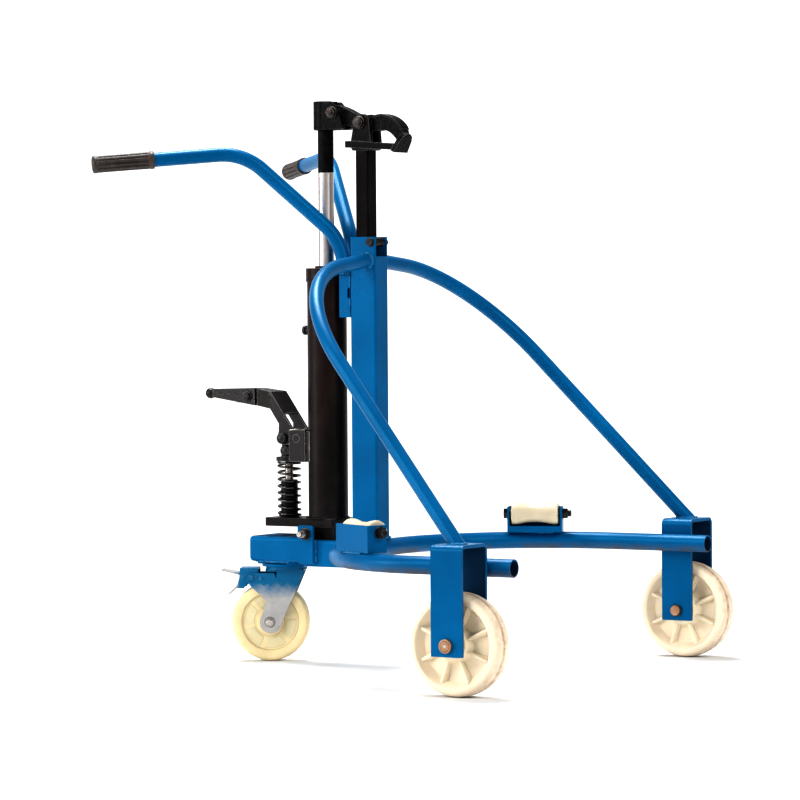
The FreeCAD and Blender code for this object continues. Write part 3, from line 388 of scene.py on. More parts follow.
def black_paint(name, brown=0.3, rough=(0.3, 0.5), grain=0.0004, dust=0.2, specular=0.06, lift=1.0,
                edge=0.0018, bare=(0.13, 0.12, 0.12)):
    """Thin black paint: brown is its rust tint, lift its lightness, edge and bare the width and colour of its
    lighter edges, which are partly worn paint and partly a painted highlight.
    """
    g = Graph(name)
    broad = g.noise(12.0, 4.0, 0.6)
    fine = g.noise(180.0, 4.0, 0.6)
    stops = [(0.3, (0.0025, 0.002, 0.002)), (0.55, (0.005, 0.0042, 0.0042)), (0.8, (0.013, 0.011, 0.011))]
    base = g.ramp(broad, [(place, tuple(channel * lift for channel in colour)) for place, colour in stops])
    base = g.stain(base, (0.03, 0.012, 0.009), g.noise(7.0, 5.0, 0.6, (1.0, 1.0, 0.25)), 0.42, 0.72, brown)
    # Edges lightened all along: partly worn paint, partly a painted highlight.
    lit_and_worn_edges = g.times(g.edges(edge), g.ramp(g.noise(120.0, 4.0, 0.7), [(0.36, 0.25), (0.6, 0.75)]))
    base = g.mix(lit_and_worn_edges, base, bare)
    base = g.stain(base, (0.075, 0.06, 0.056), fine, 0.64, 0.72, dust)
    base = g.stain(base, (0.06, 0.05, 0.047), g.noise(26.0, 5.0, 0.7, (4.0, 4.0, 0.35)), 0.6, 0.76, dust)
    roughness = g.remap(fine, 0.3, 0.7, *rough)
    normal = g.bump([(g.noise(650.0, 3.0, 0.6), grain, 0.5), (g.noise(90.0, 3.0, 0.5), grain * 3, 0.3)])
    return g.surface(base, roughness, 0.0, specular, normal)


def cast_black(name):
    """Rough casting under black paint, lighter along its edges: partly rubbed paint, partly a painted highlight.
    """
    g = Graph(name)
    lumps = g.noise(110.0, 4.0, 0.6)
    grit = g.add("ShaderNodeTexVoronoi", Vector=g.place, Scale=520.0).outputs["Distance"]
    base = g.ramp(lumps, [(0.3, 0.0018), (0.6, (0.0036, 0.0033, 0.0033)), (0.8, (0.011, 0.01, 0.01))])
    base = g.stain(base, (0.06, 0.026, 0.017), g.noise(38.0, 5.0, 0.7), 0.6, 0.74, 0.5)
    # Edges lightened: partly rubbed paint, partly a painted highlight.
    lit_and_worn_edges = g.times(g.edges(0.0026), g.ramp(g.noise(90.0, 4.0, 0.7), [(0.36, 0.4), (0.6, 0.9)]))
    base = g.mix(lit_and_worn_edges, base, (0.17, 0.165, 0.17))
    roughness = g.remap(lumps, 0.3, 0.7, 0.3, 0.55)
    normal = g.bump([(grit, 0.0004, 0.35), (lumps, 0.0018, 0.55)])
    return g.surface(base, roughness, 0.0, 0.09, normal)


def metal(name, light, dark, rough=(0.2, 0.35), scratch=(1.0, 1.0, 14.0), rust=0.0):
    """Bare metal streaked along the scratch stretch, with a share of rust."""
    g = Graph(name)
    streaks = g.noise(60.0, 4.0, 0.6, scratch)
    fine = g.noise(400.0, 3.0, 0.6)
    base = g.ramp(streaks, [(0.3, dark), (0.7, light)])
    if rust:
        base = g.stain(base, (0.17, 0.065, 0.03), g.noise(70.0, 5.0, 0.7), 0.5, 0.68, rust)
    roughness = g.remap(fine, 0.25, 0.75, *rough)
    normal = g.bump([(streaks, 0.0002, 0.25), (fine, 0.0002, 0.3)])
    metallic = g.remap(fine, 0.0, 1.0, 0.9, 0.75) if rust else 1.0
    return g.surface(base, roughness, metallic, 0.5, normal)


def ram_rod(name, join):
    """Chrome below the join, sprayed black above it with a soft, slightly uneven boundary."""
    g = Graph(name)
    height = g.axis("Z")
    haze = g.noise(40.0, 4.0, 0.6, (1.0, 1.0, 0.5))
    rings = g.noise(30.0, 3.0, 0.6, (0.5, 0.5, 30.0))
    chrome = g.ramp(haze, [(0.3, (0.58, 0.53, 0.51)), (0.7, (0.66, 0.61, 0.59))])
    chrome = g.stain(chrome, (0.3, 0.26, 0.22), g.noise(22.0, 5.0, 0.7, (2.0, 2.0, 0.6)), 0.58, 0.8, 0.25)
    edge = g.maths("ADD", height, g.remap(g.noise(90.0, 4.0, 0.6), 0.2, 0.8, -0.0012, 0.0012))
    cover = g.remap(edge, join - 0.0008, join + 0.0008, 0.0, 1.0)
    paint = g.ramp(g.noise(60.0, 4.0, 0.6), [(0.4, (0.0025, 0.0022, 0.0025)), (0.75, (0.012, 0.011, 0.011))])
    base = g.mix(cover, chrome, paint)
    metallic = g.remap(cover, 0.0, 1.0, 1.0, 0.0)
    rough = g.maths("ADD", g.remap(haze, 0.2, 0.8, 0.32, 0.4), g.times(cover, 0.15))
    normal = g.bump([(rings, 0.0001, 0.1), (g.noise(300.0, 3.0, 0.6), 0.0001, 0.1)])
    return g.surface(base, rough, metallic, 0.08, normal)


def zinc_sheet(name, overspray=None, bare=None):
    """Satin zinc plating with stains; overspray gives the heights between which blue paint fades in.

    bare is a point and a direction: the paint is worn off beyond that point."""
    g = Graph(name)
    cloud = g.noise(30.0, 5.0, 0.6)
    base = g.ramp(cloud, [(0.3, (0.36, 0.35, 0.345)), (0.7, (0.5, 0.49, 0.48))])
    base = g.stain(base, (0.2, 0.185, 0.18), g.noise(52.0, 6.0, 0.75), 0.54, 0.74, 0.4)
    base = g.stain(base, (0.66, 0.66, 0.68), g.noise(24.0, 5.0, 0.7), 0.58, 0.76, 0.5)
    base = g.stain(base, (0.14, 0.09, 0.07), g.noise(88.0, 5.0, 0.7), 0.6, 0.7, 0.6)
    metallic = 0.55
    if overspray:
        low, high = overspray
        mist = g.remap(g.axis("Z"), low, high, 0.0, 1.0)
        patch = g.maths("ADD", mist, g.remap(g.noise(48.0, 6.0, 0.75), 0.2, 0.8, -0.3, 0.3))
        if bare:
            beyond = g.vector("DOT_PRODUCT", g.vector("SUBTRACT", g.place, bare[0]), bare[1])
            patch = g.maths("SUBTRACT", patch, g.remap(beyond, -0.012, 0.006, 0.1, 1.4))
        cover = g.ramp(patch, [(0.15, 0.0), (0.5, 0.5), (0.85, 1.0)])
        base = g.mix(cover, base, (0.0, 0.125, 0.255))
        metallic = g.remap(cover, 0.0, 1.0, 0.55, 0.02)
    roughness = g.remap(g.noise(120.0, 3.0, 0.6), 0.2, 0.8, 0.34, 0.5)
    normal = g.bump([(cloud, 0.0004, 0.2), (g.noise(160.0, 3.0, 0.5), 0.0004, 0.3)])
    return g.surface(base, roughness, metallic, 0.25, normal)


def nylon(name, centre, axis, tread, face, dirt=0.5, deep=(0.9, 0.8, 0.5), line=None, rings=()):
    """Moulded nylon, dirtier on the tread: tread is its radius, face and deep the colours at the rim and
    the hub, line the offset of the wear line along the axis, rings the radii of darker joints."""
    g = Graph(name)
    offset = g.vector("SUBTRACT", g.place, centre)
    along = g.vector("DOT_PRODUCT", offset, axis)
    length = g.vector("LENGTH", offset)
    square = g.maths("SUBTRACT", g.maths("POWER", length, 2.0), g.times(along, along))
    radius = g.maths("SQRT", g.maths("MAXIMUM", square, 0.0))
    cloud = g.noise(26.0, 4.0, 0.6)
    base = g.ramp(cloud, [(0.3, tuple(0.88 * c for c in face)), (0.7, face)])
    inner = g.remap(radius, tread * 0.2, tread * 0.72, 1.0, 0.0)
    base = g.mix(g.times(inner, 0.16), base, deep)
    rim = g.remap(radius, tread * 0.95, tread * 0.985, 0.0, 1.0)
    grime = g.ramp(g.noise(75.0, 5.0, 0.7), [(0.42, 0.0), (0.7, dirt)])
    base = g.mix(g.times(rim, grime), base, (0.45, 0.27, 0.14))
    if line is not None:
        wander = g.remap(g.noise(14.0, 4.0, 0.6), 0.2, 0.8, -0.003, 0.003)
        distance = g.maths("ABSOLUTE", g.maths("SUBTRACT", g.maths("ADD", along, wander), line))
        band = g.remap(distance, 0.0005, 0.0065, 0.9, 0.0)
        broken = g.ramp(g.noise(80.0, 5.0, 0.75), [(0.36, 0.2), (0.62, 1.0)])
        base = g.mix(g.times(g.times(band, broken), rim), base, (0.34, 0.16, 0.07))
    for ring in rings:
        gap = g.maths("ABSOLUTE", g.maths("SUBTRACT", radius, ring))
        mark = g.remap(gap, 0.0003, 0.0012, 0.45, 0.0)
        base = g.mix(mark, base, (0.2, 0.13, 0.05))
    base = g.stain(base, (0.3, 0.2, 0.11), g.noise(210.0, 3.0, 0.6), 0.7, 0.76, 0.45)
    roughness = g.remap(g.noise(90.0, 3.0, 0.6), 0.2, 0.8, 0.3, 0.48)
    normal = g.bump([(g.noise(500.0, 2.0, 0.5), 0.0002, 0.25), (cloud, 0.0015, 0.12)])
    return g.surface(base, roughness, 0.0, 0.35, normal, glow=0.3)


def rubber(name):
    g = Graph(name)
    fine = g.noise(500.0, 3.0, 0.6)
    dust = g.ramp(g.noise(60.0, 4.0, 0.6), [(0.4, 0.0), (0.75, 0.4)])
    base = g.mix(dust, (0.036, 0.028, 0.026), (0.1, 0.08, 0.07))
    base = g.stain(base, (0.15, 0.07, 0.035), g.noise(34.0, 5.0, 0.7), 0.56, 0.74, 0.45)
    roughness = g.remap(fine, 0.2, 0.8, 0.4, 0.58)
    return g.surface(base, roughness, 0.0, 0.4, g.bump([(fine, 0.0003, 0.4)]))


def slide_plastic(name):
    g = Graph(name)
    lines = g.noise(50.0, 4.0, 0.6, (1.0, 1.0, 8.0))
    base = g.ramp(lines, [(0.3, (0.34, 0.31, 0.24)), (0.7, (0.5, 0.46, 0.37))])
    return g.surface(base, g.remap(lines, 0.2, 0.8, 0.4, 0.6), 0.0, 0.3, g.bump([(lines, 0.0003, 0.4)]))


CREAM = (0.88, 0.76, 0.59)
YELLOW = (0.83, 0.69, 0.42)
UNSTREAKED = (1, 1, 1)


def material_library():
    caster = JOINTS["caster_spin"]
    trail = (at_caster(1, 0, 0) - at_caster(0, 0, 0)).normalized()
    made = {
        "blue_paint": blue_paint("blue_paint"),
        "weld_blue": blue_paint("blue_paint_weld", weld=0.5),
        "fork_blue": blue_paint("blue_paint_fork", painted_shade=shaded_fork_inside),
        "leg_blue": blue_paint("blue_paint_leg", painted_shade=shaded_leg_bore, soil=under_leg),
        "box_blue": blue_paint("blue_paint_box", painted_shade=oil_and_shade_on_box_top),
        "black_paint": black_paint("black_paint", brown=0.1),
        "jack_black": black_paint("jack_black_paint", brown=0.75, rough=(0.3, 0.48), specular=0.14, lift=1.4),
        # The lever's wide, pale edges are partly a painted highlight.
        "lever_black": black_paint("lever_black_paint", brown=0.2, rough=(0.34, 0.5), dust=0.35, specular=0.3,
                                   lift=1.6, edge=0.003, bare=(0.36, 0.35, 0.37)),
        "black_casting": cast_black("black_casting"),
        "black_steel": black_paint("black_oxide_steel", brown=0.12, rough=(0.24, 0.4), grain=0.0002,
                                   specular=0.35),
        "spring_black": black_paint("spring_enamel", brown=0.15, rough=(0.14, 0.26), grain=0.0001,
                                    specular=0.9, lift=2.5),
        "ram_rod": ram_rod("ram_rod", ROD_JOIN),
        "hard_chrome": metal("hard_chrome", (0.66, 0.62, 0.58), (0.5, 0.46, 0.42), rough=(0.2, 0.3)),
        "bright_steel": metal("bright_steel", (0.6, 0.57, 0.53), (0.42, 0.38, 0.34), rust=0.25),
        "worn_steel": metal("worn_steel", (0.1, 0.09, 0.085), (0.014, 0.012, 0.011), rough=(0.28, 0.42),
                            rust=0.2, scratch=UNSTREAKED),
        "copper_steel": metal("browned_steel", (0.45, 0.285, 0.19), (0.3, 0.17, 0.1), rough=(0.34, 0.52),
                              rust=0.3, scratch=UNSTREAKED),
        "zinc": zinc_sheet("zinc_sheet", (0.112, 0.152)),
        "brake_zinc": zinc_sheet("sprayed_zinc", (0.105, 0.135), (at_caster(*BRAKE_TABS), trail)),
        "roller_nylon": nylon("cream_nylon_roller", (0, 0, 0), (0, 1, 0), 9.0, (0.68, 0.6, 0.45), dirt=0.2,
                              deep=(0.62, 0.52, 0.35)),
        "yellow_nylon": nylon("yellow_nylon", caster["pos_m"], caster["axis"], CASTER_RADIUS * MM, YELLOW,
                              dirt=0.3, deep=(0.6, 0.46, 0.17), rings=(0.0532, 0.0268)),
        "slide_plastic": slide_plastic("slide_plastic"),
        "grip_rubber": rubber("grip_rubber"),
    }
    for side, line in (("left", -0.006), ("right", -0.001)):
        hub = JOINTS[side + "_wheel_spin"]["pos_m"]
        made[side + "_nylon"] = nylon("cream_nylon_" + side, hub, (0, 1, 0), 0.09, CREAM, line=line)
    return made


# nodes whose look is not simply the one of their material slot
MATERIAL_NODES = {
    "box_blue": "spine_rear_box",
    "leg_blue": "base_tube",
    "fork_blue": "fork_left fork_right",
    "lever_black": "pump_lever foot_pedal fulcrum_bracket pump_links plunger_head",
    "jack_black": "jack_cylinder cylinder_cap pump_barrel jack_base",
    "black_steel": "guide_roller",
    "bright_steel": "axle_spacers caster_axle",
    "copper_steel": "axle_pins",
    "ram_rod": "ram_rod",
    "zinc": "caster_fork",
    "brake_zinc": "brake_pedal brake_pin",
    "left_nylon": "front_wheel_left",
    "right_nylon": "front_wheel_right",
    "roller_nylon": "drum_roller_left drum_roller_right",
    "yellow_nylon": "caster_wheel",
}


def dress_nodes():
    chosen = {part["node"]: part["material_slot"] for part in frame["record"]["subparts"]}
    for material, names in MATERIAL_NODES.items():
        chosen.update(dict.fromkeys(names.split(), material))
    for name, node in NODES.items():
        node.data.materials.clear()
        node.data.materials.append(MATERIALS[chosen[name]])


# ---- mesh helpers
def at(x, y, z):
    """Point given in millimetres, with x from the front axle, as metres in the frame."""
    return Vector((AXLE_X + x * MM, y * MM, z * MM))


def frame_of(axis):
    """Two directions square to the axis, then the axis."""
    along = Vector(axis).normalized()
    helper = X_AXIS if abs(along.x) < 0.9 else Y_AXIS
    side = along.cross(helper).normalized()
    return side, along.cross(side), along


def swing(first, second, angle):
    """The first direction turned towards the second by the angle."""
    return first * math.cos(angle) + second * math.sin(angle)


def roller_axis(sign):
    return swing(X_AXIS, Y_AXIS * sign, ROLLER_TURN)


def piece(name, bm, material, body, replaces=(), angle=38.0):
    """Finish a bmesh as an object that rides on a body; edges sharper than the angle stay sharp."""
    bmesh.ops.recalc_face_normals(bm, faces=bm.faces)
    mesh = bpy.data.meshes.new(name)
    bm.to_mesh(mesh)
    bm.free()
    mesh.shade_smooth()
    mesh.set_sharp_from_angle(angle=math.radians(angle))
    mesh.materials.append(MATERIALS[material])
    obj = bpy.data.objects.new(name, mesh)
    show(obj)
    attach(obj, body)
    if replaces:
        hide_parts(*replaces)
    return obj


def lathe(bm, profile, centre, axis, segments=64, closed=True):
    """Turn (radius, height) points in millimetres about the axis."""
    side, up, along = frame_of(axis)
    rings = []
    for step in range(segments):
        angle = 2 * math.pi * step / segments
        outward = swing(side, up, angle)
        rings.append([bm.verts.new(centre + outward * (r * MM) + along * (h * MM)) for r, h in profile])
    count = len(profile)
    spans = count if closed else count - 1
    for step in range(segments):
        first, second = rings[step], rings[(step + 1) % segments]
        for index in range(spans):
            after = (index + 1) % count
            bm.faces.new((first[index], second[index], second[after], first[after]))


def skin(bm, rings, closed=False):
    """Faces between neighbouring rings of vertices."""
    count = len(rings[0])
    for first, second in zip(rings, rings[1:] + rings[:1] if closed else rings[1:]):
        for step in range(count):
            after = (step + 1) % count
            bm.faces.new((first[step], first[after], second[after], second[step]))


def sweep(bm, points, radii, sides, closed=False):
    """Tube through the points with a radius in metres for each of them."""
    count = len(points)
    rings = []
    normal = None
    for index, point in enumerate(points):
        before = points[index - 1] if index or closed else points[0]
        after = points[(index + 1) % count] if index < count - 1 or closed else points[-1]
        heading = (after - before).normalized()
        if normal is None:
            normal = frame_of(heading)[0]
        normal = (normal - heading * normal.dot(heading)).normalized()
        cross = heading.cross(normal)
        ring = []
        for step in range(sides):
            angle = 2 * math.pi * step / sides
            ring.append(bm.verts.new(point + swing(normal, cross, angle) * radii[index]))
        rings.append(ring)
    skin(bm, rings, closed)
    if not closed:
        bm.faces.new(rings[0][::-1])
        bm.faces.new(rings[-1])


def resampled(points, step, closed):
    """The same line with points a fixed step apart."""
    ring = list(points) + ([points[0]] if closed else [])
    out = [ring[0].copy()]
    carry = 0.0
    for start, end in zip(ring[:-1], ring[1:]):
        length = (end - start).length
        position = step - carry
        while position < length:
            out.append(start.lerp(end, position / length))
            position += step
        carry = length - (position - step)
    if closed and len(out) > 3:
        out.pop()
    return out


def bead(bm, points, radius, seed, closed=False):
    """Weld bead: overlapping ripples with an uneven width."""
    rng = random.Random(seed)
    line = resampled(points, 0.8 * MM, closed)
    pitch = 4
    wobble = [rng.uniform(0.82, 1.12) for _ in range(len(line) // pitch + 2)]
    radii = []
    for index in range(len(line)):
        phase = (index % pitch) / pitch
        size = wobble[index // pitch] * (0.86 + 0.2 * math.sin(math.pi * phase))
        radii.append(radius * MM * size)
    line = [point + Vector([rng.uniform(-0.15, 0.15) * MM for _ in range(3)]) for point in line]
    sweep(bm, line, radii, 8, closed)


def circle(centre, axis, radius, steps=60, start=0.0, turn=360.0):
    side, up, _ = frame_of(axis)
    points = []
    for step in range(steps):
        angle = math.radians(start + turn * step / (steps if turn == 360.0 else steps - 1))
        points.append(centre + swing(side, up, angle) * (radius * MM))
    return points


def slab(bm, corners, bevel):
    """Eight corners (lower four, then upper four) joined into a block with eased edges."""
    verts = [bm.verts.new(corner) for corner in corners]
    faces = [bm.faces.new([verts[i] for i in loop]) for loop in
             ((3, 2, 1, 0), (4, 5, 6, 7), (0, 1, 5, 4), (1, 2, 6, 5), (2, 3, 7, 6), (3, 0, 4, 7))]
    edges = list(dict.fromkeys(edge for face in faces for edge in face.edges))
    bmesh.ops.bevel(bm, geom=edges, offset=bevel * MM, segments=2, profile=0.6, affect="EDGES")


def cut_ring(node, axis, value):
    """The node's vertices that lie in a plane, in order around their middle."""
    points = [vertex.co.copy() for vertex in NODES[node].data.vertices if abs(vertex.co[axis] - value) < 2e-4]
    middle = sum(points, Vector()) / len(points)
    others = [index for index in range(3) if index != axis]
    best = {}
    for point in points:
        offset = point - middle
        angle = round(math.atan2(offset[others[1]], offset[others[0]]) / math.radians(6))
        if angle not in best or (best[angle] - middle).length < offset.length:
            best[angle] = point
    return [best[key] for key in sorted(best)][:60]


# ---- wheels
def wheel_rib(bm, centre, axis, angle, face):
    """One tapering rib between the hub and the rim, thick at the web; face is 1 or -1 along the axis."""
    side, up, along = frame_of(axis)
    outward = swing(side, up, angle)
    across = along.cross(outward)
    inner, outer = 26, 70.5
    corners = []
    for depth_in, depth_out, half_in, half_out in ((5.0, 5.0, 5.0, 7.5), (20.5, 19.0, 1.7, 2.38)):
        for radius, half, depth in ((inner, -half_in, depth_in), (outer, -half_out, depth_out),
                                    (outer, half_out, depth_out), (inner, half_in, depth_in)):
            offset = outward * radius + across * half + along * (depth * face)
            corners.append(centre + offset * MM)
    slab(bm, corners, 0.7)


def front_wheel(side):
    centre = Vector(JOINTS[side + "_wheel_spin"]["pos_m"])
    half_profile = [(10.1, -26.0), (25.5, -26.0), (27.0, -25.2), (28.4, -22.0), (32.0, -13.0), (35.0, -10.0),
                    (60.0, -8.0), (64.0, -9.0), (67.0, -13.0), (71.5, -18.5), (73.2, -21.5), (74.4, -24.2),
                    (75.6, -25.0), (80.6, -25.0), (82.8, -24.4), (85.4, -22.8), (87.4, -19.8), (88.9, -15.5),
                    (89.7, -9.0), (90.0, 0.0)]
    profile = half_profile + [(r, -h) for r, h in reversed(half_profile[:-1])]
    bm = bmesh.new()
    lathe(bm, profile, centre, (0, 1, 0), 128)
    for step in range(8):
        for face in (1, -1):
            wheel_rib(bm, centre, (0, 1, 0), math.radians(22 + 45 * step), face)
    piece("moulded_wheel_" + side, bm, side + "_nylon", side + "_wheel",
          ["front_wheel_" + side])
    bush = bmesh.new()
    for end in (-1, 1):
        lathe(bush, [(10.06, 24.6 * end), (14.0, 24.6 * end), (14.0, 26.15 * end), (10.06, 26.15 * end)],
              centre, (0, 1, 0), 40)
    piece("hub_bush_" + side, bush, "bright_steel", side + "_wheel")


def caster_wheel():
    """Solid wheel with six raised panels on each face."""
    joint = JOINTS["caster_spin"]
    centre, axis = Vector(joint["pos_m"]), Vector(joint["axis"])
    half_profile = [(7.1, -22.5), (17.6, -22.5), (19.0, -21.6), (19.8, -19.4), (21.0, -18.2), (25.6, -18.2),
                    (26.6, -17.6), (27.4, -16.4), (51.0, -16.4), (52.0, -17.2), (52.4, -18.6), (53.2, -18.9),
                    (53.9, -18.3), (54.6, -19.9), (55.8, -20.5), (66.5, -20.5), (69.4, -20.0), (71.8, -18.0),
                    (73.2, -14.0), (73.9, -7.5), (74.0, 0.0)]
    profile = half_profile + [(r, -h) for r, h in reversed(half_profile[:-1])]
    bm = bmesh.new()
    lathe(bm, profile, centre, axis, 112)
    side, up, along = frame_of(axis)
    for face in (-1, 1):
        for step in range(6):
            middle = math.radians(12 + 60 * step)
            rows = []
            for radius, height, degrees in ((30.0, 16.0, 24.5), (49.5, 16.0, 24.5),
                                            (31.2, 17.1, 23.3), (48.4, 17.1, 23.3)):
                spread = math.radians(degrees)
                row = []
                for index in range(9):
                    angle = middle - spread + 2 * spread * index / 8
                    outward = swing(side, up, angle)
                    point = centre + outward * (radius * MM) + along * (height * face * MM)
                    row.append(bm.verts.new(point))
                rows.append(row)
            low_in, low_out, top_in, top_out = rows
            for first, second in ((low_in, top_in), (top_in, top_out), (top_out, low_out)):
                for index in range(8):
                    bm.faces.new((first[index], first[index + 1], second[index + 1], second[index]))
            for end in (0, 8):
                bm.faces.new((low_in[end], top_in[end], top_out[end], low_out[end]))
    piece("moulded_caster_wheel", bm, "yellow_nylon", "caster_roller", ["caster_wheel"])


# ---- spring and grips
def spring():
    """Coil with flattened end turns: ease is the share of a turn and close the rise of each of them."""
    pump = centre_of("plunger")
    bottom = 273.5
    height = 100.2
    pitch = 12.7
    ease = 0.75
    close = 2.7
    active = (height - 2 * close) / pitch
    turns = active + 2 * ease
    points = []
    steps = int(turns * 40)
    for index in range(steps + 1):
        turn = turns * index / steps
        if turn < ease:
            drop = close * turn / ease
        elif turn < ease + active:
            drop = close + pitch * (turn - ease)
        else:
            drop = close + pitch * active + close * (turn - ease - active) / ease
        angle = math.radians(212.0) + (turn - 1.04) * 2 * math.pi
        radius = 20.6 * MM
        points.append(Vector((pump.x + radius * math.cos(angle), pump.y + radius * math.sin(angle),
                              (bottom + height - drop) * MM)))
    bm = bmesh.new()
    sweep(bm, points, [2.3 * MM] * len(points), 14)
    coil = piece("compression_spring", bm, "spring_black", "chassis", ["pump_spring"], 60)
    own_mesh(coil)


def grip(side, sign):
    """Fluted sleeve with a collar and a closed, rounded cap: sections of length, radius and flute depth."""
    tip = at(-833.3, 325.8 * sign, 930.4)
    corner = at(-623.3, 145.0 * sign, 951.5)
    heading = (tip - corner).normalized()
    start = tip - heading * (112.0 * MM)
    across, up, along = frame_of(heading)
    sections = [(0.0, 13.4, 0), (0.0, 15.6, 0), (0.8, 16.5, 0), (7.6, 16.5, 0), (8.6, 15.9, 0),
                (9.6, 15.6, 0.15), (12.0, 15.9, 1), (40.0, 15.7, 1), (70.0, 15.6, 1), (101.5, 15.7, 1),
                (104.0, 15.6, 0.15), (105.0, 16.0, 0), (106.0, 16.4, 0), (111.5, 16.2, 0), (113.6, 14.6, 0),
                (114.8, 10.5, 0), (115.0, 5.0, 0), (115.0, 0.4, 0)]
    around = 144
    bm = bmesh.new()
    rings = []
    for length, radius, flute in sections:
        ring = []
        for step in range(around):
            angle = 2 * math.pi * step / around
            wave = math.cos(angle * 12)
            depth = flute * 2.3 * max(0.0, wave) ** 2.2
            outward = swing(across, up, angle)
            ring.append(bm.verts.new(start + along * (length * MM) + outward * ((radius - depth) * MM)))
        rings.append(ring)
    skin(bm, rings)
    bm.faces.new(rings[-1])
    piece("fluted_grip_" + side, bm, "grip_rubber", "chassis", ["grip_" + side], 50)


# ---- welds
def frame_welds():
    bm = bmesh.new()
    seed = 10
    for side, sign in SIDES:
        mast_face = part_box("mast_tube")[1].y * sign
        fork_low, fork_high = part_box("fork_" + side)
        flange = (fork_low.y if sign > 0 else fork_high.y) / MM - 2.6 * sign
        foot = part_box("handle_" + side)[0].z
        bead(bm, cut_ring("brace_" + side, 1, mast_face), 3.9, seed, True)
        bead(bm, cut_ring("brace_" + side, 2, fork_high.z), 3.0, seed + 1, True)
        bead(bm, cut_ring("handle_" + side, 2, foot), 2.0, seed + 8, True)
        for lift in (-10.6, 10.6):
            level = LEG_HEIGHT / MM + lift
            bead(bm, [at(-30, flange, level), at(30, flange, level)], 2.6, seed + 4)
        bead(bm, [at(-569, 50.8 * sign, 189), at(-536, 50.8 * sign, 189)], 1.6, seed + 6)
        for x, y, bottom, top, radius, offset in (
                (-565.5, 45.0, 190, 231, 2.4, 3), (-536, 45.2, 190, 232, 2.0, 5),
                (-470.4, 22.6, 703, 726, 1.1, 7), (-470.4, 22.6, 650, 680, 1.1, 9)):
            bead(bm, [at(x, y * sign, bottom), at(x, y * sign, top)], radius, seed + offset)
        seed += 20
    low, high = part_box("mast_tube")
    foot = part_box("mast_foot")[1].z
    corners = [Vector((low.x, low.y, foot)), Vector((high.x, low.y, foot)), Vector((high.x, high.y, foot)),
               Vector((low.x, high.y, foot))]
    bead(bm, corners, 2.6, 71, True)
    low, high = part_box("mast_foot")
    level = low.z + 0.5 * MM
    for y in (low.y, high.y):
        bead(bm, [Vector((low.x, y, level)), Vector((high.x, y, level))], 2.2, 73)
    low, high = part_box("caster_plate")
    inset = 12 * MM
    for y in (low.y, high.y):
        bead(bm, [Vector((low.x + inset, y, high.z)), Vector((high.x - inset, y, high.z))], 2.0, 75)
    for x, plate_seed in ((low.x, 77), (high.x, 79)):
        line = [Vector((x, low.y + inset, high.z)), Vector((x, high.y - inset, high.z))]
        bead(bm, line, 2.0, plate_seed)
    piece("frame_welds", bm, "weld_blue", "chassis", angle=70)


def bracket_welds():
    bm = bmesh.new()
    for side, sign in SIDES:
        axis = roller_axis(sign)
        out = Z_AXIS.cross(axis) * sign
        middle = centre_of("roller_bracket_" + side)
        middle.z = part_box("roller_bracket_left")[0].z - 1.2 * MM
        for offset, reach in ((3.5, 34), (18.5, 30)):
            start = middle + out * (offset * MM) - axis * (reach * MM)
            bead(bm, [start, start + axis * (2 * reach * MM)], 2.5, 90 + int(offset))
    piece("bracket_welds", bm, "weld_blue", "chassis", angle=70)


def spatter():
    """Scattered weld drops beside the joints."""
    rng = random.Random(5)
    bm = bmesh.new()
    spots = []
    for _ in range(16):
        spots.append((at(rng.uniform(-562, -552), -44.0, rng.uniform(193, 229)), (0, -1, 0)))
    for _ in range(18):
        for sign in (-1, 1):
            spots.append((at(rng.uniform(-468, -418), 22.5 * sign, rng.uniform(690, 735)), (0, sign, 0)))
    for _ in range(8):
        spots.append((at(rng.uniform(-490, -472), -22.5, rng.uniform(648, 678)), (0, -1, 0)))
        spots.append((at(rng.uniform(-28, 28), rng.choice((-1, 1)) * rng.uniform(395, 410), 262), (0, 0, 1)))
    for centre, axis in spots:
        radius = rng.uniform(0.5, 1.9)
        lathe(bm, [(radius, -0.3), (radius * 0.9, radius * 0.35), (radius * 0.55, radius * 0.7),
                   (0.05, radius * 0.85)], centre, axis, 8, False)
    piece("weld_spatter", bm, "weld_blue", "chassis", angle=80)


def jack_welds():
    bm = bmesh.new()
    jack = centre_of("jack_cylinder")
    pump = Vector((centre_of("pump_barrel").x, 0, JACK_BASE_TOP * MM))
    jack.z = JACK_BASE_TOP * MM
    bead(bm, circle(jack, (0, 0, 1), 37.8, 80, 50, 260), 2.8, 31)
    for sign in (1, -1):
        bead(bm, [at(-568, 31.0 * sign, 378), at(-568, 31.0 * sign, 433)], 2.2, 33)
    bead(bm, circle(pump, (0, 0, 1), 16.2, 60), 1.8, 35, True)
    piece("jack_welds", bm, "jack_black", "chassis", angle=70)


# ---- fasteners
def thread(bm, start, axis, radius, length, pitch=1.5):
    """Screw thread shown as close ridges, with a chamfered end."""
    profile = [(radius - 0.9, 0.0)]
    turns = int(length / pitch)
    crest = radius + 0.12
    for index in range(turns):
        base = index * pitch
        profile += [(radius - 0.7, base + 0.05), (crest, base + pitch * 0.45), (crest, base + pitch * 0.6)]
    profile += [(radius - 0.7, turns * pitch), (radius - 1.3, length + 0.6), (0.3, length + 0.7)]
    lathe(bm, profile, start, axis, 28, False)


def washer(bm, centre, axis, outer, inner, height):
    lathe(bm, [(inner, 0.0), (outer - 0.3, 0.0), (outer, 0.3), (outer, height - 0.3), (outer - 0.4, height),
               (inner, height)], centre, axis, 48)


def nut_face(bm, centre, axis, radius):
    """The chamfer ring and bore on the outer face of a nut."""
    lathe(bm, [(radius * 0.96, -0.6), (radius * 0.9, 0.25), (radius * 0.62, 0.35), (radius * 0.56, -0.4)],
          centre, axis, 36, False)


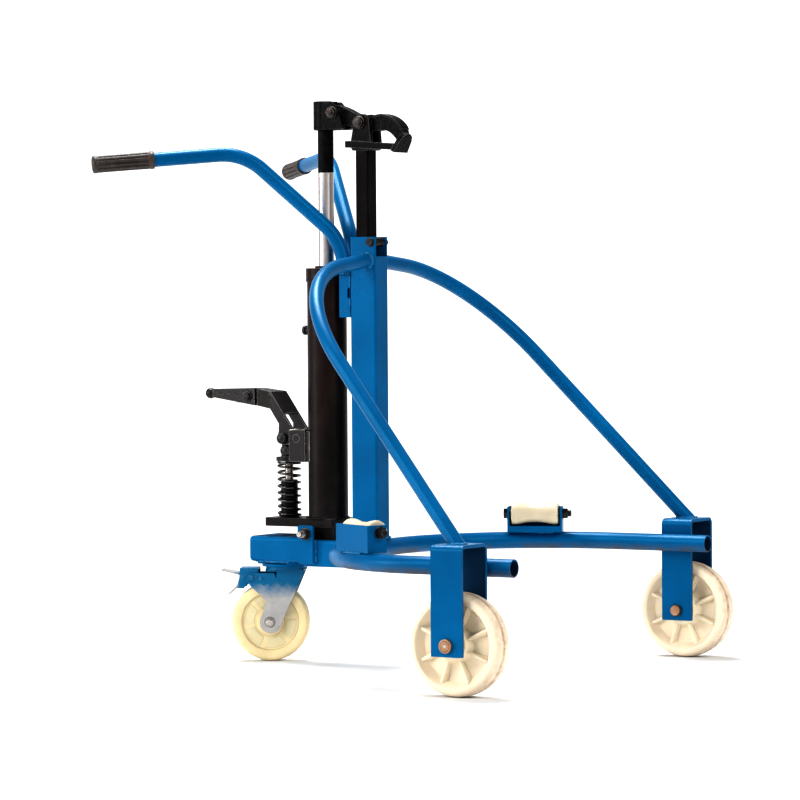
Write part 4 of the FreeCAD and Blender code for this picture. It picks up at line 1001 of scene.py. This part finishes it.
def bolt_pair(bm, place, reach, outer, inner, height):
    """A washer under each end of a bolt that lies across the truck."""
    x, z = place
    for sign in (-1, 1):
        washer(bm, at(x, reach * sign, z), (0, sign, 0), outer, inner, height)


def bolt_tip(bm, place, reach, nut, shank, length):
    """The nut face and the bare thread at the right-hand end of a bolt that lies across the truck."""
    x, z = place
    tip = at(x, -reach, z)
    nut_face(bm, tip, (0, -1, 0), nut)
    if length:
        thread(bm, tip, (0, -1, 0), shank, length)


def fasteners():
    bm = bmesh.new()
    x, z = PIVOT_BOLT
    thread(bm, at(x, -64.6, z), (0, -1, 0), 6.2, 13.2)
    piece("pivot_thread", bm, "bright_steel", "chassis")
    bm = bmesh.new()
    bolt_pair(bm, PIVOT_BOLT, 56.0, 12.0, 6.0, 1.6)
    bolt_tip(bm, PIVOT_BOLT, 65.0, 9.0, 0, 0)
    for side, sign in SIDES:
        axis = roller_axis(sign)
        centre = Vector(JOINTS[side + "_roller_spin"]["pos_m"])
        washer(bm, centre + axis * (52.0 * MM), axis, 11.5, 6.0, 1.4)
        washer(bm, centre - axis * (53.4 * MM), axis, 11.5, 6.0, 1.4)
        nut_face(bm, centre + axis * (62.0 * MM), axis, 9.0)
        thread(bm, centre + axis * (62.0 * MM), axis, 6.15, 6.4)
    bolt_pair(bm, GUIDE_BOLT, 22.5, 8.6, 4.0, 1.0)
    piece("frame_fasteners", bm, "black_steel", "chassis")
    bm = bmesh.new()
    x, z = HEAD_BOLT
    washer(bm, at(x, -22.0, z), (0, -1, 0), 11.6, 6.0, 1.5)
    bolt_tip(bm, HEAD_BOLT, 29.0, 9.0, 6.15, 2.9)
    piece("head_fasteners", bm, "worn_steel", "ram")
    bm = bmesh.new()
    bolt_pair(bm, JAW_BOLT, 20.0, 12.4, 7.0, 1.6)
    bolt_tip(bm, JAW_BOLT, 27.0, 9.5, 7.1, 2.4)
    piece("jaw_fasteners", bm, "worn_steel", "sliding_mast")
    bm = bmesh.new()
    x, z = PEDAL_BOLT
    washer(bm, at(x, -13.2, z), (0, -1, 0), 10.0, 5.0, 1.2)
    bolt_tip(bm, PEDAL_BOLT, 19.9, 8.0, 0, 0)
    piece("pedal_fasteners", bm, "black_steel", "foot_lever")


def link_fasteners():
    """Turned heads on both ends of the two link pins."""
    for name, body in (("upper", "foot_lever"), ("lower", "pump_plunger")):
        low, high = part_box(name + "_link_pin")
        middle = (low + high) / 2
        for side, end, face in (("right", -1, low.y), ("left", 1, high.y)):
            bm = bmesh.new()
            start = Vector((middle.x, face, middle.z))
            nut_face(bm, start, (0, end, 0), (high.z - low.z) / 2 / MM)
            lathe(bm, [(5.2, -0.4), (5.0, 0.7), (3.4, 0.9), (0.3, 0.9)], start, (0, end, 0), 28, False)
            piece(name + "_pin_end_" + side, bm, "black_steel", body)


def axle_details():
    """Turned centre marks on the pin heads and spring clips on their inner ends."""
    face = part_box("axle_pins")[1].y
    inner_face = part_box("fork_left")[0].y - 2.2 * MM
    for side, sign in SIDES:
        centre = Vector(JOINTS[side + "_wheel_spin"]["pos_m"])
        bm = bmesh.new()
        outer = Vector((centre.x, face * sign, centre.z))
        lathe(bm, [(3.1, -0.3), (2.8, 0.02), (2.0, 0.04), (0.2, 0.04)], outer, (0, sign, 0), 28, False)
        piece("pin_centre_" + side, bm, "bright_steel", "chassis")
        bm = bmesh.new()
        lathe(bm, [(9.6, -0.3), (9.4, 0.04), (8.7, 0.04), (8.4, -0.3)], outer, (0, sign, 0), 40, False)
        piece("pin_ring_" + side, bm, "worn_steel", "chassis")
        bm = bmesh.new()
        hub = Vector((centre.x, inner_face * sign, centre.z))
        sweep(bm, circle(hub, (0, 1, 0), 10.8, 50, -140, 300), [1.3 * MM] * 50, 8)
        piece("pin_clip_" + side, bm, "black_steel", "chassis")


def fulcrum_wire():
    """Bright wire that keeps the fulcrum pin in, laid across the tops of the ears."""
    bm = bmesh.new()
    points = [at(-600, -33.6, 435.6), at(-596, -33.4, 436.6), at(-588, -31.5, 437.2), at(-580, -29.0, 436.8),
              at(-574, -26.5, 436.6), at(-569, -27.0, 438.6), at(-565.5, -29.5, 440.0),
              at(-564.0, -31.8, 436.8)]
    smooth = []
    for index in range(len(points) - 1):
        for step in range(6):
            smooth.append(points[index].lerp(points[index + 1], step / 6))
    smooth.append(points[-1])
    for _ in range(6):
        inside = [(a + b * 2 + c) / 4 for a, b, c in zip(smooth[:-2], smooth[1:-1], smooth[2:])]
        smooth = [smooth[0]] + inside + [smooth[-1]]
    sweep(bm, smooth, [0.9 * MM] * len(smooth), 8)
    piece("fulcrum_wire", bm, "hard_chrome", "chassis")


# ---- caster details
def at_caster(x, y, z):
    """Point in millimetres in the caster's own frame, with x along its trail."""
    pivot = JOINTS["caster_turn"]["pos_m"]
    cos, sin = math.cos(CASTER_HEADING), math.sin(CASTER_HEADING)
    return Vector((pivot[0] + (x * cos - y * sin) * MM, pivot[1] + (x * sin + y * cos) * MM, z * MM))


def on_cheek(x, z, reach, sign):
    """Point on one side of the caster's fork, and the direction out of it."""
    start = at_caster(x, reach * sign, z)
    return start, at_caster(x, (reach + 1) * sign, z) - start


def caster_details():
    bm = bmesh.new()
    half_profile = [(0.3, -34.9), (5.2, -34.9), (6.2, -34.0), (6.2, -30.4), (7.0, -30.4), (7.4, -31.3),
                    (8.4, -31.3), (9.0, -30.6), (9.0, -28.6), (6.95, -28.6)]
    profile = half_profile + [(r, -h) for r, h in reversed(half_profile)]
    lathe(bm, profile, at_caster(CASTER_TRAIL, 0, CASTER_RADIUS), Vector(JOINTS["caster_spin"]["axis"]), 48)
    piece("turned_caster_axle", bm, "bright_steel", "caster_swivel", ["caster_axle"])
    bm = bmesh.new()
    for sign in (-1, 1):
        hub, outward = on_cheek(CASTER_TRAIL, CASTER_RADIUS, CASTER_CHEEK, sign)
        washer(bm, hub, outward, 10.0, 7.0, 0.7)
    piece("caster_axle_washers", bm, "worn_steel", "caster_swivel")
    bm = bmesh.new()
    for sign in (-1, 1):
        for x, z, radius in ((46, 156.0, 4.2), (56, 159.0, 3.0), (70, 152.5, 2.4)):
            start, outward = on_cheek(x, z, CASTER_CHEEK - 0.1, sign)
            lathe(bm, [(radius, -0.3), (radius, 0.5), (radius * 0.8, 1.4), (radius * 0.45, 1.9), (0.1, 2.0)],
                  start, outward, 24, False)
        start, outward = on_cheek(66, 157, 31.0, sign)
        lathe(bm, [(6.3, -0.3), (5.9, 0.5), (4.2, 0.2), (3.6, 0.9), (0.1, 1.1)], start, outward, 24, False)
    piece("fork_rivets", bm, "brake_zinc", "caster_swivel")


def jaw_rim():
    """Wider flange along the back of the beak."""
    line = [(-424.0, 1018.0), (-414.0, 1020.0), (-404.0, 1020.6), (-396.0, 1019.0), (-388.0, 1016.4),
            (-381.0, 1013.0), (-374.0, 1008.4), (-368.5, 1003.0), (-364.0, 998.0), (-361.0, 992.0)]
    bm = bmesh.new()
    rows = []
    for index, (x, z) in enumerate(line):
        before = line[max(index - 1, 0)]
        after = line[min(index + 1, len(line) - 1)]
        heading = Vector((after[0] - before[0], 0, after[1] - before[1])).normalized()
        normal = Vector((-heading.z, 0, heading.x))
        fade = min(1.0, (index + 0.3) / 2.0)
        half = 10.5 + 3.2 * fade
        centre = at(x, 0, z)
        section = [(-half, -3.6), (-half, 0.2), (-half + 1.2, 1.2), (half - 1.2, 1.2), (half, 0.2),
                   (half, -3.6), (half - 2.0, -5.0), (-half + 2.0, -5.0)]
        rows.append([bm.verts.new(centre + Y_AXIS * (y * MM) + normal * (h * MM)) for y, h in section])
    skin(bm, rows)
    bm.faces.new(rows[0])
    bm.faces.new(rows[-1])
    piece("beak_flange", bm, "black_casting", "jaw")


def make_pieces():
    for side, sign in SIDES:
        front_wheel(side)
        grip(side, sign)
    for build in (caster_wheel, spring, frame_welds, bracket_welds, spatter, jack_welds, fasteners,
                  link_fasteners, axle_details, fulcrum_wire, caster_details, jaw_rim):
        build()


make_camera()
make_studio()
MATERIALS = material_library()
dress_nodes()
make_pieces()
